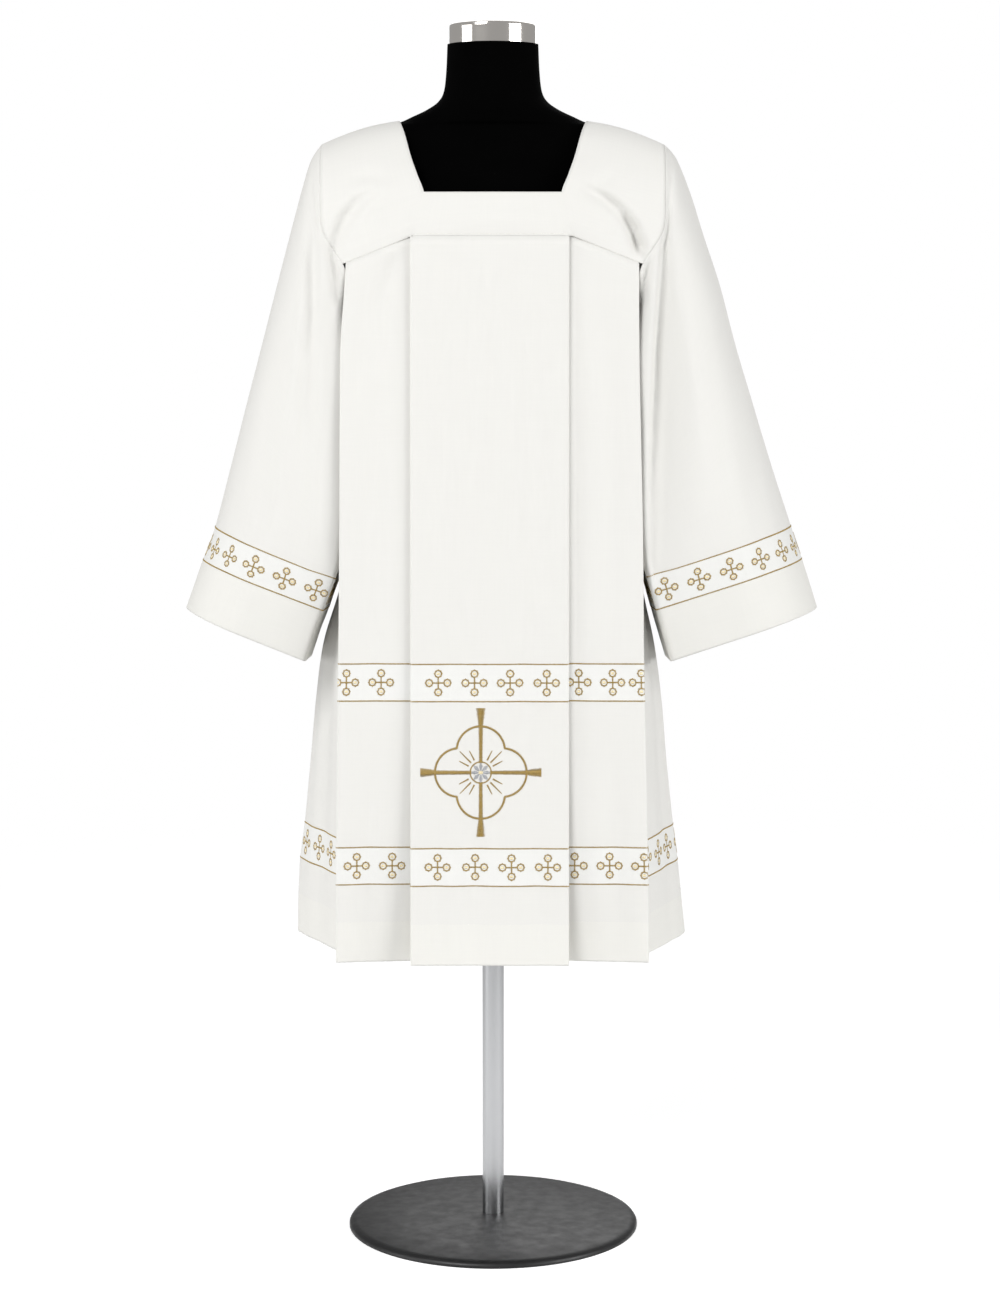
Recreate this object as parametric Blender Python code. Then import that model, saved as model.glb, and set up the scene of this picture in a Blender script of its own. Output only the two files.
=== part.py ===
"""Surplice on a limbless dress form.

The garment has a front and a back yoke in one with the shoulders, a pleated front and back, two
flared side gores and two bell sleeves. It rests on the shoulders of a dress form with a capped
neck, which stands on a pole and a round foot.

Frame: metres, +Z up, the front faces -Y, the origin is the centre of the foot's underside.
Every cloth piece is a sheet through its middle surface, given its thickness at the end.
"""
import math
from collections import namedtuple

import bpy
from mathutils import Vector

# Cloth
CLOTH = 0.0012            # thickness of the cloth
SEAM_GAP = 0.0003         # clear space between two layers or solids that touch
EDGE_GAP = 0.0008         # between two cut edges at a seam, whose tilted rims then clear by 0.3 mm
FOLD_RADIUS = 0.0015      # bend of a pressed pleat edge, at the middle of the cloth
CENTRE_RETURN = 0.030     # how far a centre pleat goes back under its panel
SIDE_RETURN = 0.028       # how far a side pleat goes back under its panel
BACK_DEPTH = 0.95         # depth of the back, as a share of the depth of the front
ARC_STEPS = 4             # straight steps round one pleat edge
PANEL_STEPS = 6           # steps across half the centre panel
SIDE_STEPS = 4            # steps across a side panel
GORE_STEPS = 7            # steps from the side of a gore to where it turns in
GORE_END_STEPS = 3        # and on to its edge
HALF_RING = 22            # steps from the top of a sleeve ring to its bottom

# Yoke
SEAM_HEIGHT = 1.2915      # straight middle stretch of the seam below the yoke
SEAM_FLAT = 0.098         # half width of that stretch
SEAM_DROP = 0.0345        # straight fall of the seam from there to the armhole
NECK_STEPS = 8            # steps across the neckline
STRAP_STEPS = 11          # steps across a shoulder
NECK_BOW = 0.003          # how far the front band stands forward in its middle
SHOULDER_BOW = 0.0048     # rise of the shoulder line above a straight line
EDGE_SETBACK = 0.0016     # yoke edge to the middle of the sleeve cloth
PLEAT_STEP = 0.0048       # how far the yoke's edge steps back beside the centre panel
PLEAT_STEP_PLACE = (0.04, 0.14)   # shares of its width between which it does

# Gore
GORE_OVERLAP = 0.006      # how far it reaches past the end of the side return
GORE_LAP = 0.010          # straight end that lies along the return
GORE_BEND = 0.008         # how far before that end it has turned in
GORE_CLEAR = 0.032        # how far behind the folded edge it starts to turn in

# Each gore: side, rounding where it turns round the side, and how far it dips behind the folded
# edge, as a share of its flare
GoreShape = namedtuple("GoreShape", "sign rounding dip")
LEFT_GORE = GoreShape(-1, 0.008, 0.33)
RIGHT_GORE = GoreShape(1, 0.030, 0.40)

# Dress form and stand
TORSO_BOTTOM = 0.795
RING_STEPS = 32
CAP_BOTTOM = 1.5333
POLE_RADIUS = 0.014
FOOT_RADIUS = 0.190
FOOT_HEIGHT = 0.014

# Skirt, from the hem up. Depths are distances in front of the vertical plane through the sides.
BodyRow = namedtuple("BodyRow", "z centre side_in side_out left_edge right_edge left_gore right_gore")
BODY_ROWS = [
    BodyRow(0.3940, 0.2085, 0.1770, 0.1910, 0.1950, 0.1940, 0.2560, 0.2510),
    BodyRow(0.4400, 0.2020, 0.1780, 0.1890, 0.1946, 0.1937, 0.2556, 0.2465),
    BodyRow(0.4900, 0.1965, 0.1790, 0.1870, 0.1943, 0.1932, 0.2535, 0.2415),
    BodyRow(0.5400, 0.1915, 0.1785, 0.1850, 0.1940, 0.1920, 0.2475, 0.2350),
    BodyRow(0.6200, 0.1840, 0.1745, 0.1785, 0.1930, 0.1905, 0.2400, 0.2265),
    BodyRow(0.7000, 0.1765, 0.1690, 0.1720, 0.1920, 0.1885, 0.2325, 0.2195),
    BodyRow(0.7750, 0.1690, 0.1625, 0.1650, 0.1908, 0.1868, 0.2215, 0.2090),
    BodyRow(0.8600, 0.1610, 0.1550, 0.1565, 0.1900, 0.1862, 0.1960, 0.1910),
    BodyRow(0.9500, 0.1520, 0.1465, 0.1480, 0.1893, 0.1850, 0.1910, 0.1880),
    BodyRow(1.0600, 0.1420, 0.1370, 0.1380, 0.1888, 0.1825, 0.1880, 0.1855),
    BodyRow(1.1600, 0.1335, 0.1287, 0.1290, 0.1875, 0.1807, 0.1852, 0.1840),
    BodyRow(1.2915, 0.1255, 0.1211, 0.1180, 0.1812, 0.1805, 0.1853, 0.1851),
]
CENTRE_LEFT = 0.1015      # half width of the centre panel to the left
CENTRE_RIGHT = 0.0940     # and to the right

# Armhole, from the shoulder tip down the front to the underarm
ArmholeRow = namedtuple("ArmholeRow", "x depth z")
ARMHOLE_ROWS = [
    ArmholeRow(0.2155, 0.0000, 1.4080),
    ArmholeRow(0.2158, 0.0300, 1.4055),
    ArmholeRow(0.2156, 0.0560, 1.3910),
    ArmholeRow(0.2150, 0.0780, 1.3650),
    ArmholeRow(0.2142, 0.0930, 1.3370),
    ArmholeRow(0.2130, 0.1030, 1.3080),
    ArmholeRow(0.2075, 0.1095, 1.2900),
    ArmholeRow(0.1965, 0.1145, 1.2740),
    ArmholeRow(0.1850, 0.1180, 1.2570),
    ArmholeRow(0.1835, 0.1150, 1.2360),
    ArmholeRow(0.1834, 0.1060, 1.2170),
    ArmholeRow(0.1842, 0.0850, 1.2020),
    ArmholeRow(0.1854, 0.0550, 1.1900),
    ArmholeRow(0.1865, 0.0250, 1.1835),
    ArmholeRow(0.1872, 0.0000, 1.1815),
]
YOKE_CORNER = 8           # row of the armhole where the yoke ends

# Inner edge of the front shoulder: down the side of the neckline, then on to the seam
NeckRow = namedtuple("NeckRow", "x depth z")
FRONT_NECK_ROWS = [
    NeckRow(0.1210, 0.0000, 1.4370),
    NeckRow(0.1165, 0.0300, 1.4345),
    NeckRow(0.1100, 0.0580, 1.4190),
    NeckRow(0.1015, 0.0840, 1.3900),
    NeckRow(0.0930, 0.1020, 1.3665),
    NeckRow(0.0850, 0.1130, 1.3450),
    NeckRow(0.0880, 0.1180, 1.3280),
    NeckRow(0.0920, 0.1225, 1.3100),
    NeckRow(0.0980, 0.1255, 1.2915),
]
FRONT_NECK_CORNER = 5     # row where the neckline turns across the front
NECK_FRONT = 0.1130       # depth of that corner, to which the crown of the shoulder fades
BACK_NECK_ROWS = [
    NeckRow(0.1210, 0.0000, 1.4370),
    NeckRow(0.1170, 0.0300, 1.4345),
    NeckRow(0.1130, 0.0580, 1.4215),
    NeckRow(0.1100, 0.0760, 1.4030),
    NeckRow(0.1080, 0.0930, 1.3800),
    NeckRow(0.1060, 0.1060, 1.3560),
    NeckRow(0.1030, 0.1150, 1.3330),
    NeckRow(0.1000, 0.1220, 1.3120),
    NeckRow(0.0980, 0.1255, 1.2915),
]
BACK_NECK_CORNER = 3

SCOOP_ROWS = 2.5          # sleeve rows over which the bend of the armhole's edge fades
FULLNESS_OUTSIDE = 2.0    # roundness of the outer half of a sleeve ring, 2 for an ellipse
FULLNESS_INSIDE = 9.0     # roundness of the inner half, squarer where it stands by the body
TUCK_DEPTH = (0.84, 0.91)  # shares of the depth between which the corners reach in
TUCK_INSIDE = (0.62, 0.93)  # and shares of the inner half
TUCK_FULL = 0.008         # reach from which no crease is left in the corners

# Sleeves, from the armhole to the cuff: outer line, inner line, half depth, share of the armhole's
# shape, how far the corners reach in behind the folded edges of front and back, and how much
# higher the ring runs across the front and back than at its sides
SleeveRow = namedtuple("SleeveRow", "out_x out_z in_x in_z depth armhole tuck bow")
LEFT_SLEEVE_ROWS = [
    SleeveRow(0.2155, 1.4080, 0.1872, 1.1815, 0.1180, 1.00, 0.0000, 0.0000),
    SleeveRow(0.2290, 1.3890, 0.1898, 1.1650, 0.1200, 0.66, 0.0000, 0.0000),
    SleeveRow(0.2400, 1.3560, 0.1902, 1.1350, 0.1240, 0.22, 0.0000, 0.0000),
    SleeveRow(0.2545, 1.3040, 0.1904, 1.0950, 0.1280, 0.08, 0.0060, 0.0000),
    SleeveRow(0.2720, 1.2390, 0.1910, 1.0500, 0.1315, 0.04, 0.0070, 0.0000),
    SleeveRow(0.2930, 1.1600, 0.1924, 1.0000, 0.1355, 0.02, 0.0080, 0.0005),
    SleeveRow(0.3145, 1.0800, 0.1938, 0.9500, 0.1395, 0.00, 0.0080, 0.0010),
    SleeveRow(0.3350, 1.0020, 0.1958, 0.9050, 0.1420, 0.00, 0.0080, 0.0018),
    SleeveRow(0.3560, 0.9240, 0.2010, 0.8610, 0.1420, 0.00, 0.0050, 0.0030),
    SleeveRow(0.3720, 0.8820, 0.2120, 0.8200, 0.1380, 0.00, 0.0000, 0.0040),
    SleeveRow(0.3840, 0.8490, 0.2240, 0.7890, 0.1340, 0.00, 0.0000, 0.0060),
    SleeveRow(0.3945, 0.8200, 0.2350, 0.7560, 0.1300, 0.00, 0.0000, 0.0080),
]
RIGHT_SLEEVE_ROWS = [
    SleeveRow(0.2155, 1.4080, 0.1872, 1.1815, 0.1180, 1.00, 0.0000, 0.0000),
    SleeveRow(0.2310, 1.3910, 0.1885, 1.1650, 0.1200, 0.60, 0.0000, 0.0000),
    SleeveRow(0.2490, 1.3490, 0.1882, 1.1350, 0.1240, 0.22, 0.0120, 0.0000),
    SleeveRow(0.2680, 1.2910, 0.1888, 1.0950, 0.1280, 0.08, 0.0160, 0.0000),
    SleeveRow(0.2880, 1.2320, 0.1895, 1.0500, 0.1315, 0.04, 0.0140, 0.0000),
    SleeveRow(0.3090, 1.1550, 0.1902, 1.0000, 0.1355, 0.02, 0.0135, 0.0005),
    SleeveRow(0.3330, 1.0770, 0.1910, 0.9500, 0.1395, 0.00, 0.0130, 0.0010),
    SleeveRow(0.3570, 1.0000, 0.1930, 0.9050, 0.1420, 0.00, 0.0110, 0.0018),
    SleeveRow(0.3820, 0.9250, 0.1965, 0.8630, 0.1420, 0.00, 0.0050, 0.0030),
    SleeveRow(0.3965, 0.8830, 0.2040, 0.8206, 0.1380, 0.00, 0.0000, 0.0040),
    SleeveRow(0.4075, 0.8500, 0.2130, 0.7890, 0.1340, 0.00, 0.0000, 0.0060),
    SleeveRow(0.4170, 0.8200, 0.2230, 0.7560, 0.1300, 0.00, 0.0000, 0.0080),
]

# Soft creases, as straight troughs between two places seen from the front or the back
Crease = namedtuple("Crease", "from_x from_z to_x to_z width depth")
YOKE_CREASES = [
    Crease(0.1280, 1.3460, 0.1520, 1.3290, 0.0105, 0.0040),
    Crease(0.1470, 1.3340, 0.1730, 1.3010, 0.0105, 0.0085),
    Crease(0.1680, 1.3100, 0.1810, 1.2580, 0.0105, 0.0130),
    Crease(-0.1580, 1.3410, -0.1910, 1.2980, 0.0105, 0.0080),
    Crease(-0.1860, 1.3060, -0.2010, 1.2620, 0.0105, 0.0090),
    Crease(0.1220, 1.3450, 0.1500, 1.3670, 0.0105, 0.0030),
]
LEFT_FRONT_CREASES = [
    Crease(-0.2250, 1.3900, -0.2290, 1.1900, 0.0105, 0.0110),
    Crease(-0.2285, 1.2500, -0.2370, 1.0000, 0.0105, 0.0080),
    Crease(-0.2000, 1.2750, -0.1930, 1.1750, 0.0105, 0.0130),
    Crease(-0.2700, 1.1800, -0.2900, 0.9000, 0.0160, 0.0045),
    Crease(-0.3150, 1.0000, -0.3450, 0.8300, 0.0180, 0.0040),
]
LEFT_BACK_CREASES = [
    Crease(-0.2260, 1.3800, -0.2240, 1.1400, 0.0105, 0.0110),
    Crease(-0.2280, 1.2000, -0.2400, 0.9200, 0.0120, 0.0080),
    Crease(-0.1990, 1.2700, -0.1935, 1.1800, 0.0105, 0.0110),
    Crease(-0.2720, 1.1500, -0.3000, 0.9000, 0.0180, 0.0050),
]
RIGHT_FRONT_CREASES = [
    Crease(0.2210, 1.3950, 0.2125, 1.2350, 0.0105, 0.0100),
    Crease(0.2125, 1.2750, 0.1960, 1.0400, 0.0105, 0.0110),
    Crease(0.2010, 1.1200, 0.1900, 0.9300, 0.0105, 0.0080),
    Crease(0.2290, 1.3600, 0.2130, 1.0400, 0.0180, 0.0080),
    Crease(0.1885, 1.2700, 0.1870, 1.1850, 0.0105, 0.0130),
    Crease(0.2700, 1.1500, 0.2950, 0.9000, 0.0180, 0.0045),
    Crease(0.3200, 1.0000, 0.3600, 0.8300, 0.0180, 0.0040),
]
RIGHT_BACK_CREASES = [
    Crease(0.2250, 1.3850, 0.2180, 1.1500, 0.0105, 0.0110),
    Crease(0.2190, 1.2000, 0.2320, 0.9300, 0.0120, 0.0080),
    Crease(0.1960, 1.2700, 0.1910, 1.1800, 0.0105, 0.0110),
    Crease(0.2750, 1.1800, 0.3050, 0.9000, 0.0180, 0.0050),
]
CREASE_FACE = 0.060       # depth in front of the sides from which the creases take hold
CREASE_RISE = 0.022       # height above the seam over which those of the yoke reach their depth
CREASE_START = 0.8        # row of the sleeve by which its creases reach their depth
CREASE_ENDS = 0.12        # how far from nothing a crease starts and ends, as a share of a half wave

# Dress form, from the neck down
FormRow = namedtuple("FormRow", "z half_width half_depth")
FORM_ROWS = [
    FormRow(1.5330, 0.0575, 0.0575),
    FormRow(1.5000, 0.0590, 0.0590),
    FormRow(1.4750, 0.0620, 0.0620),
    FormRow(1.4620, 0.0690, 0.0630),
    FormRow(1.4520, 0.0830, 0.0630),
    FormRow(1.4430, 0.1020, 0.0605),
    FormRow(1.4351, 0.1210, 0.0580),
    FormRow(1.4302, 0.1500, 0.0530),
    FormRow(1.4210, 0.1800, 0.0550),
    FormRow(1.4116, 0.2030, 0.0600),
    FormRow(1.4010, 0.2110, 0.0660),
    FormRow(1.3800, 0.2120, 0.0780),
    FormRow(1.3500, 0.2060, 0.0930),
    FormRow(1.3100, 0.1900, 0.1040),
    FormRow(1.2700, 0.1750, 0.1090),
    FormRow(1.2200, 0.1660, 0.1110),
    FormRow(1.1500, 0.1560, 0.1080),
    FormRow(1.0600, 0.1380, 0.0970),
    FormRow(0.9900, 0.1450, 0.1010),
    FormRow(0.9000, 0.1640, 0.1120),
    FormRow(0.8300, 0.1660, 0.1110),
    FormRow(0.8030, 0.1600, 0.1060),
    FormRow(TORSO_BOTTOM, 0.1500, 0.0970),
]
CAP_ROWS = [
    FormRow(1.5590, 0.0180, 0.0180),
    FormRow(1.5572, 0.0380, 0.0380),
    FormRow(1.5545, 0.0490, 0.0490),
    FormRow(1.5510, 0.0540, 0.0540),
    FormRow(1.5470, 0.0550, 0.0550),
    FormRow(CAP_BOTTOM, 0.0550, 0.0550),
]
FOOT_ROWS = [
    FormRow(FOOT_HEIGHT, 0.0400, 0.0400),
    FormRow(0.0120, 0.1000, 0.1000),
    FormRow(0.0090, 0.1800, 0.1800),
    FormRow(0.0060, 0.1880, 0.1880),
    FormRow(0.0030, FOOT_RADIUS, FOOT_RADIUS),
    FormRow(0.0000, FOOT_RADIUS, FOOT_RADIUS),
]
POLE_ROWS = [
    FormRow(TORSO_BOTTOM - SEAM_GAP, POLE_RADIUS, POLE_RADIUS),
    FormRow(FOOT_HEIGHT + SEAM_GAP, POLE_RADIUS, POLE_RADIUS),
]


# ---------------------------------------------------------------- tables as smooth curves

def row_at(rows, position):
    """Row of a table at a fractional position, on a smooth curve through its rows."""
    last = len(rows) - 1
    first = min(int(position), last - 1)
    step = position - first
    picked = [rows[max(0, min(last, first + offset))] for offset in (-1, 0, 1, 2)]
    values = []
    for before, start, end, after in zip(*picked):
        slope_in = (end - before) / 2
        slope_out = (after - start) / 2
        rise = end - start
        values.append(start + step * (slope_in
                                      + step * (3 * rise - 2 * slope_in - slope_out
                                                + step * (slope_in + slope_out - 2 * rise))))
    return type(rows[0])(*values)


def ramp(value, start, end):
    """Smooth step from 0 at start to 1 at end."""
    share = max(0.0, min(1.0, (value - start) / (end - start)))
    return share * share * (3 - 2 * share)


def seam_height(x):
    """Height of the seam between the yoke and the skirt at a distance x from the middle."""
    corner = ARMHOLE_ROWS[YOKE_CORNER].x
    outside = max(0.0, abs(x) - SEAM_FLAT) / (corner - SEAM_FLAT)
    return SEAM_HEIGHT - SEAM_DROP * outside


def armhole_height(depth):
    """Height of the lower armhole edge at a depth in front of the side."""
    lower = ARMHOLE_ROWS[YOKE_CORNER:]
    for upper_row, lower_row in zip(lower, lower[1:]):
        if depth >= lower_row.depth:
            share = (depth - lower_row.depth) / (upper_row.depth - lower_row.depth)
            return lower_row.z + share * (upper_row.z - lower_row.z)
    return lower[-1].z


def trough(creases, x, z):
    """How far the cloth lies back in its creases at a place seen from the front or the back."""
    total = 0.0
    place = Vector((x, z))
    for crease in creases:
        start = Vector((crease.from_x, crease.from_z))
        run = Vector((crease.to_x, crease.to_z)) - start
        along = max(0.0, min(1.0, (place - start).dot(run) / run.length_squared))
        away = (place - start - run * along).length
        fade = math.sin(math.pi * (CREASE_ENDS + (1 - 2 * CREASE_ENDS) * along))
        total += crease.depth * fade * math.exp(-(away / crease.width) ** 2)
    return total


def creased(point):
    """Point of the cloth above the seam, moved back into the creases of the front yoke."""
    moved = point.copy()
    hold = ramp(-point.y, CREASE_FACE / 2, CREASE_FACE)
    hold *= ramp(point.z, seam_height(point.x), seam_height(point.x) + CREASE_RISE)
    moved.y += hold * trough(YOKE_CREASES, point.x, point.z)
    return moved


# ---------------------------------------------------------------- plan of the skirt

def arc(centre, radius, start, end):
    """Points round a circle in plan, angles in radians."""
    points = []
    for step in range(ARC_STEPS + 1):
        angle = start + (end - start) * step / ARC_STEPS
        points.append((centre[0] + radius * math.cos(angle), centre[1] + radius * math.sin(angle)))
    return points


def pleat(edge, top, bottom):
    """Box pleat edge: over the fold, back under the panel and out again on the lower panel."""
    radius = min(FOLD_RADIUS, (top - bottom) / 4)
    across = CENTRE_RETURN - 2 * radius
    apart = top - bottom - 2 * radius
    slant = math.acos(2 * radius / math.hypot(across, apart)) - math.atan2(across, apart)
    outer = arc((edge - radius, top - radius), radius, math.pi / 2, slant - math.pi / 2)
    inner = arc((edge - CENTRE_RETURN + radius, bottom + radius), radius,
                math.pi / 2 + slant, 1.5 * math.pi)
    return outer + inner


def side_slope(row, edge, side_edge, scale):
    """Rise in depth across a side panel, from the centre pleat out to its folded edge."""
    return (row.side_out - row.side_in) * scale / (side_edge - edge + CENTRE_RETURN)


def half_skirt(row, edge, side_edge, scale):
    """Plan of half the front from its middle to the end of the side return, as (x, depth)."""
    side_out = row.side_out * scale
    points = [(edge * step / PANEL_STEPS * 0.97, row.centre * scale) for step in range(PANEL_STEPS)]
    points += pleat(edge, row.centre * scale, row.side_in * scale)
    hidden_x, hidden_depth = points[-1]
    for step in range(1, SIDE_STEPS):
        share = step / SIDE_STEPS
        points.append((hidden_x + (side_edge - FOLD_RADIUS - hidden_x) * share,
                       hidden_depth + (side_out - hidden_depth) * share))
    points += arc((side_edge - FOLD_RADIUS, side_out - FOLD_RADIUS), FOLD_RADIUS,
                  math.pi / 2, -math.pi / 2)
    points.append((side_edge - SIDE_RETURN, side_out - 2 * FOLD_RADIUS
                   - (SIDE_RETURN - FOLD_RADIUS) * side_slope(row, edge, side_edge, scale)))
    return points


def skirt_piece(scale, facing):
    """Grid of points of the front (facing -1) or the back (facing 1)."""
    grid = []
    for index, row in enumerate(BODY_ROWS):
        left = half_skirt(row, CENTRE_LEFT, row.left_edge, scale)
        right = half_skirt(row, CENTRE_RIGHT, row.right_edge, scale)
        plan = [(-x, depth) for x, depth in reversed(left[1:])] + right
        top_row = index == len(BODY_ROWS) - 1
        grid.append([Vector((x, facing * depth, seam_height(x) - EDGE_GAP if top_row else row.z))
                     for x, depth in plan])
    return grid


def half_gore(shape, gore_x, side_edge, side_out, slope_in):
    """Plan of a gore from its side to the edge that lies behind the side return."""
    end_x = side_edge - SIDE_RETURN - GORE_OVERLAP
    lap = side_out - 2 * FOLD_RADIUS - CLOTH - EDGE_GAP - (side_edge - end_x) * slope_in
    flat_x, flat_depth = end_x + GORE_LAP, lap + GORE_LAP * slope_in
    reach = side_out - GORE_CLEAR
    dip_x = side_edge - shape.dip * (gore_x - side_edge)
    slope = (gore_x - dip_x) / reach
    points = []
    for step in range(GORE_STEPS):
        depth = reach * step / (GORE_STEPS - 1)
        points.append((gore_x - slope * (math.hypot(depth, shape.rounding) - shape.rounding), depth))
    start_x = points[-1][0]
    bend_x = min(start_x, flat_x + GORE_BEND)
    for step in range(1, GORE_END_STEPS + 1):
        share = step / GORE_END_STEPS
        x = start_x * (1 - share) ** 2 + bend_x * 2 * share * (1 - share) + flat_x * share ** 2
        depth = reach * (1 - share) ** 2 + flat_depth * (1 - (1 - share) ** 2)
        points.append((x, depth))
    points.append((end_x, lap))
    return points


def gore_piece(shape):
    """Grid of points of a gore, front edge to back edge."""
    left = shape.sign < 0
    grid = []
    for index, row in enumerate(BODY_ROWS):
        gore_x = row.left_gore if left else row.right_gore
        side_edge = row.left_edge if left else row.right_edge
        edge = CENTRE_LEFT if left else CENTRE_RIGHT
        front, back = [half_gore(shape, gore_x, side_edge, row.side_out * scale,
                                 side_slope(row, edge, side_edge, scale))
                       for scale in (1.0, BACK_DEPTH)]
        top_row = index == len(BODY_ROWS) - 1
        line = []
        for x, depth in reversed(front):
            height = armhole_height(depth) if top_row else row.z
            line.append(Vector((shape.sign * x, -depth, height)))
        for x, depth in back[1:]:
            height = armhole_height(depth / BACK_DEPTH) if top_row else row.z
            line.append(Vector((shape.sign * x, depth, height)))
        grid.append(line)
    return grid


# ---------------------------------------------------------------- yokes and sleeves

def yoke_piece(neck_rows, neck_corner, scale, facing):
    """Grid of points of a yoke, from the shoulder seam down, with no points in the neckline."""
    grid = []
    for index, neck in enumerate(neck_rows):
        arm = ARMHOLE_ROWS[index]
        strap = []
        for step in range(STRAP_STEPS + 1):
            share = step / STRAP_STEPS
            x = neck.x + (arm.x - EDGE_SETBACK - neck.x) * share
            depth = neck.depth + (arm.depth - neck.depth) * share
            crown = SHOULDER_BOW * 4 * share * (1 - share) * max(0.0, 1 - neck.depth / NECK_FRONT)
            height = neck.z + (arm.z - neck.z) * share + crown
            if index == len(neck_rows) - 1:
                height = seam_height(x)
                depth -= PLEAT_STEP * (1 - share) * ramp(share, *PLEAT_STEP_PLACE)
            strap.append((x, depth, height))
        middle = [None] * (NECK_STEPS - 1)
        if index >= neck_corner:
            for step in range(1, NECK_STEPS):
                across = 2 * step / NECK_STEPS - 1
                bow = NECK_BOW * (1 - across * across) * (index < len(neck_rows) - 1)
                middle[step - 1] = (across * neck.x, neck.depth + bow, neck.z)
        line = [(-x, depth, height) for x, depth, height in reversed(strap)] + middle + strap
        seam = EDGE_GAP / 2 if index == 0 else 0.0
        grid.append([point and Vector((point[0], facing * (point[1] * scale + seam), point[2]))
                     for point in line])
    return grid


def ring_shape():
    """Armhole round half a ring: place along the ring's line, offset from it, share of depth."""
    top, bottom = ARMHOLE_ROWS[0], ARMHOLE_ROWS[-1]
    middle = Vector(((top.x + bottom.x) / 2, (top.z + bottom.z) / 2))
    half = Vector((top.x - bottom.x, top.z - bottom.z)) / 2
    along, off = half.normalized(), Vector((half.y, -half.x)).normalized()
    deepest = max(row.depth for row in ARMHOLE_ROWS)
    shape = []
    for step in range(HALF_RING + 1):
        point = row_at(ARMHOLE_ROWS, (len(ARMHOLE_ROWS) - 1) * step / HALF_RING)
        from_middle = Vector((point.x, point.z)) - middle
        shape.append((from_middle.dot(along) / half.length, from_middle.dot(off),
                      point.depth / deepest))
    return shape


def sleeve_ring(row, position, creases, sign):
    """Points round one ring of a sleeve, from the outer line over the front and back again."""
    outer, inner = Vector((row.out_x, row.out_z)), Vector((row.in_x, row.in_z))
    middle, half = (outer + inner) / 2, (outer - inner) / 2
    along, off = half.normalized(), Vector((half.y, -half.x)).normalized()
    scoop = max(0.0, 1 - position / SCOOP_ROWS)
    shape = ring_shape()
    halves = []
    for facing, scale, troughs in ((-1, 1.0, creases[0]), (1, BACK_DEPTH, creases[1])):
        points = []
        for lengthways, offset, depth in shape:
            full = FULLNESS_INSIDE if lengthways < 0 else FULLNESS_OUTSIDE
            rounded = max(0.0, 1 - abs(lengthways) ** full) ** (1 / full)
            depth_share = row.armhole * depth + (1 - row.armhole) * rounded
            flat = half.length * lengthways * along + scoop * offset * off
            inward = ramp(-lengthways, *TUCK_INSIDE)
            tucked = row.tuck * inward * ramp(depth_share, *TUCK_DEPTH)
            flattened = inward * min(1.0, row.tuck / TUCK_FULL)
            height = middle.y + flat.y + row.bow * depth_share
            place = Vector((sign * (middle.x + flat.x - tucked), height))
            out = scale * row.depth * depth_share
            hold = ramp(position, 0.0, CREASE_START) * ramp(out, CREASE_FACE / 3, CREASE_FACE)
            out -= (1 - flattened) * hold * trough(troughs, place.x, place.y)
            points.append(Vector((place.x, facing * out, place.y)))
        halves.append(points)
    return halves[0] + halves[1][-2:0:-1]


def sleeve_piece(rows, creases, sign):
    """Grid of points of a sleeve, one ring for each row; its creases are for front and back."""
    return [sleeve_ring(row, index, creases, sign) for index, row in enumerate(rows)]


# ---------------------------------------------------------------- meshes

def material(name, colour, roughness, metallic=0.0):
    """Principled material."""
    finish = bpy.data.materials.new(name)
    finish.use_nodes = True
    shader = finish.node_tree.nodes["Principled BSDF"]
    shader.inputs["Base Color"].default_value = (*colour, 1.0)
    shader.inputs["Roughness"].default_value = roughness
    shader.inputs["Metallic"].default_value = metallic
    return finish


def add_object(name, points, faces, finish):
    """New object from points and faces, shaded smooth."""
    mesh = bpy.data.meshes.new(name)
    mesh.from_pydata(points, [], faces)
    mesh.materials.append(finish)
    mesh.shade_smooth()
    mesh.set_sharp_from_angle(angle=math.radians(50))
    piece = bpy.data.objects.new(name, mesh)
    bpy.context.scene.collection.objects.link(piece)
    return piece


def add_cloth(name, grid, finish, closed=False):
    """Cloth wall through a grid of points, open at its edges; a missing point leaves a hole."""
    numbers, points = {}, []
    for line_index, line in enumerate(grid):
        for column, point in enumerate(line):
            if point is not None:
                numbers[line_index, column] = len(points)
                points.append(creased(point))
    width = len(grid[0])
    faces = []
    for line_index in range(len(grid) - 1):
        for column in range(width if closed else width - 1):
            right = (column + 1) % width
            corners = [(line_index, column), (line_index, right),
                       (line_index + 1, right), (line_index + 1, column)]
            if all(corner in numbers for corner in corners):
                faces.append([numbers[corner] for corner in corners])
    piece = add_object(name, points, faces, finish)
    thicken = piece.modifiers.new("Cloth thickness", "SOLIDIFY")
    thicken.thickness = CLOTH
    thicken.offset = 0.0
    thicken.use_even_offset = True
    thicken.use_quality_normals = True
    return piece


def add_turned(name, rows, finish, steps=RING_STEPS):
    """Closed solid through level rings, from the top ring down."""
    points, faces = [], []
    for row in rows:
        for step in range(steps):
            angle = 2 * math.pi * step / steps
            points.append((row.half_width * math.cos(angle), row.half_depth * math.sin(angle), row.z))
    for index in range(len(rows) - 1):
        for step in range(steps):
            after = (step + 1) % steps
            upper, lower = index * steps, (index + 1) * steps
            faces.append([upper + step, lower + step, lower + after, upper + after])
    faces.append(list(range(steps)))
    faces.append(list(range(len(points) - 1, len(points) - steps - 1, -1)))
    return add_object(name, points, faces, finish)


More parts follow.
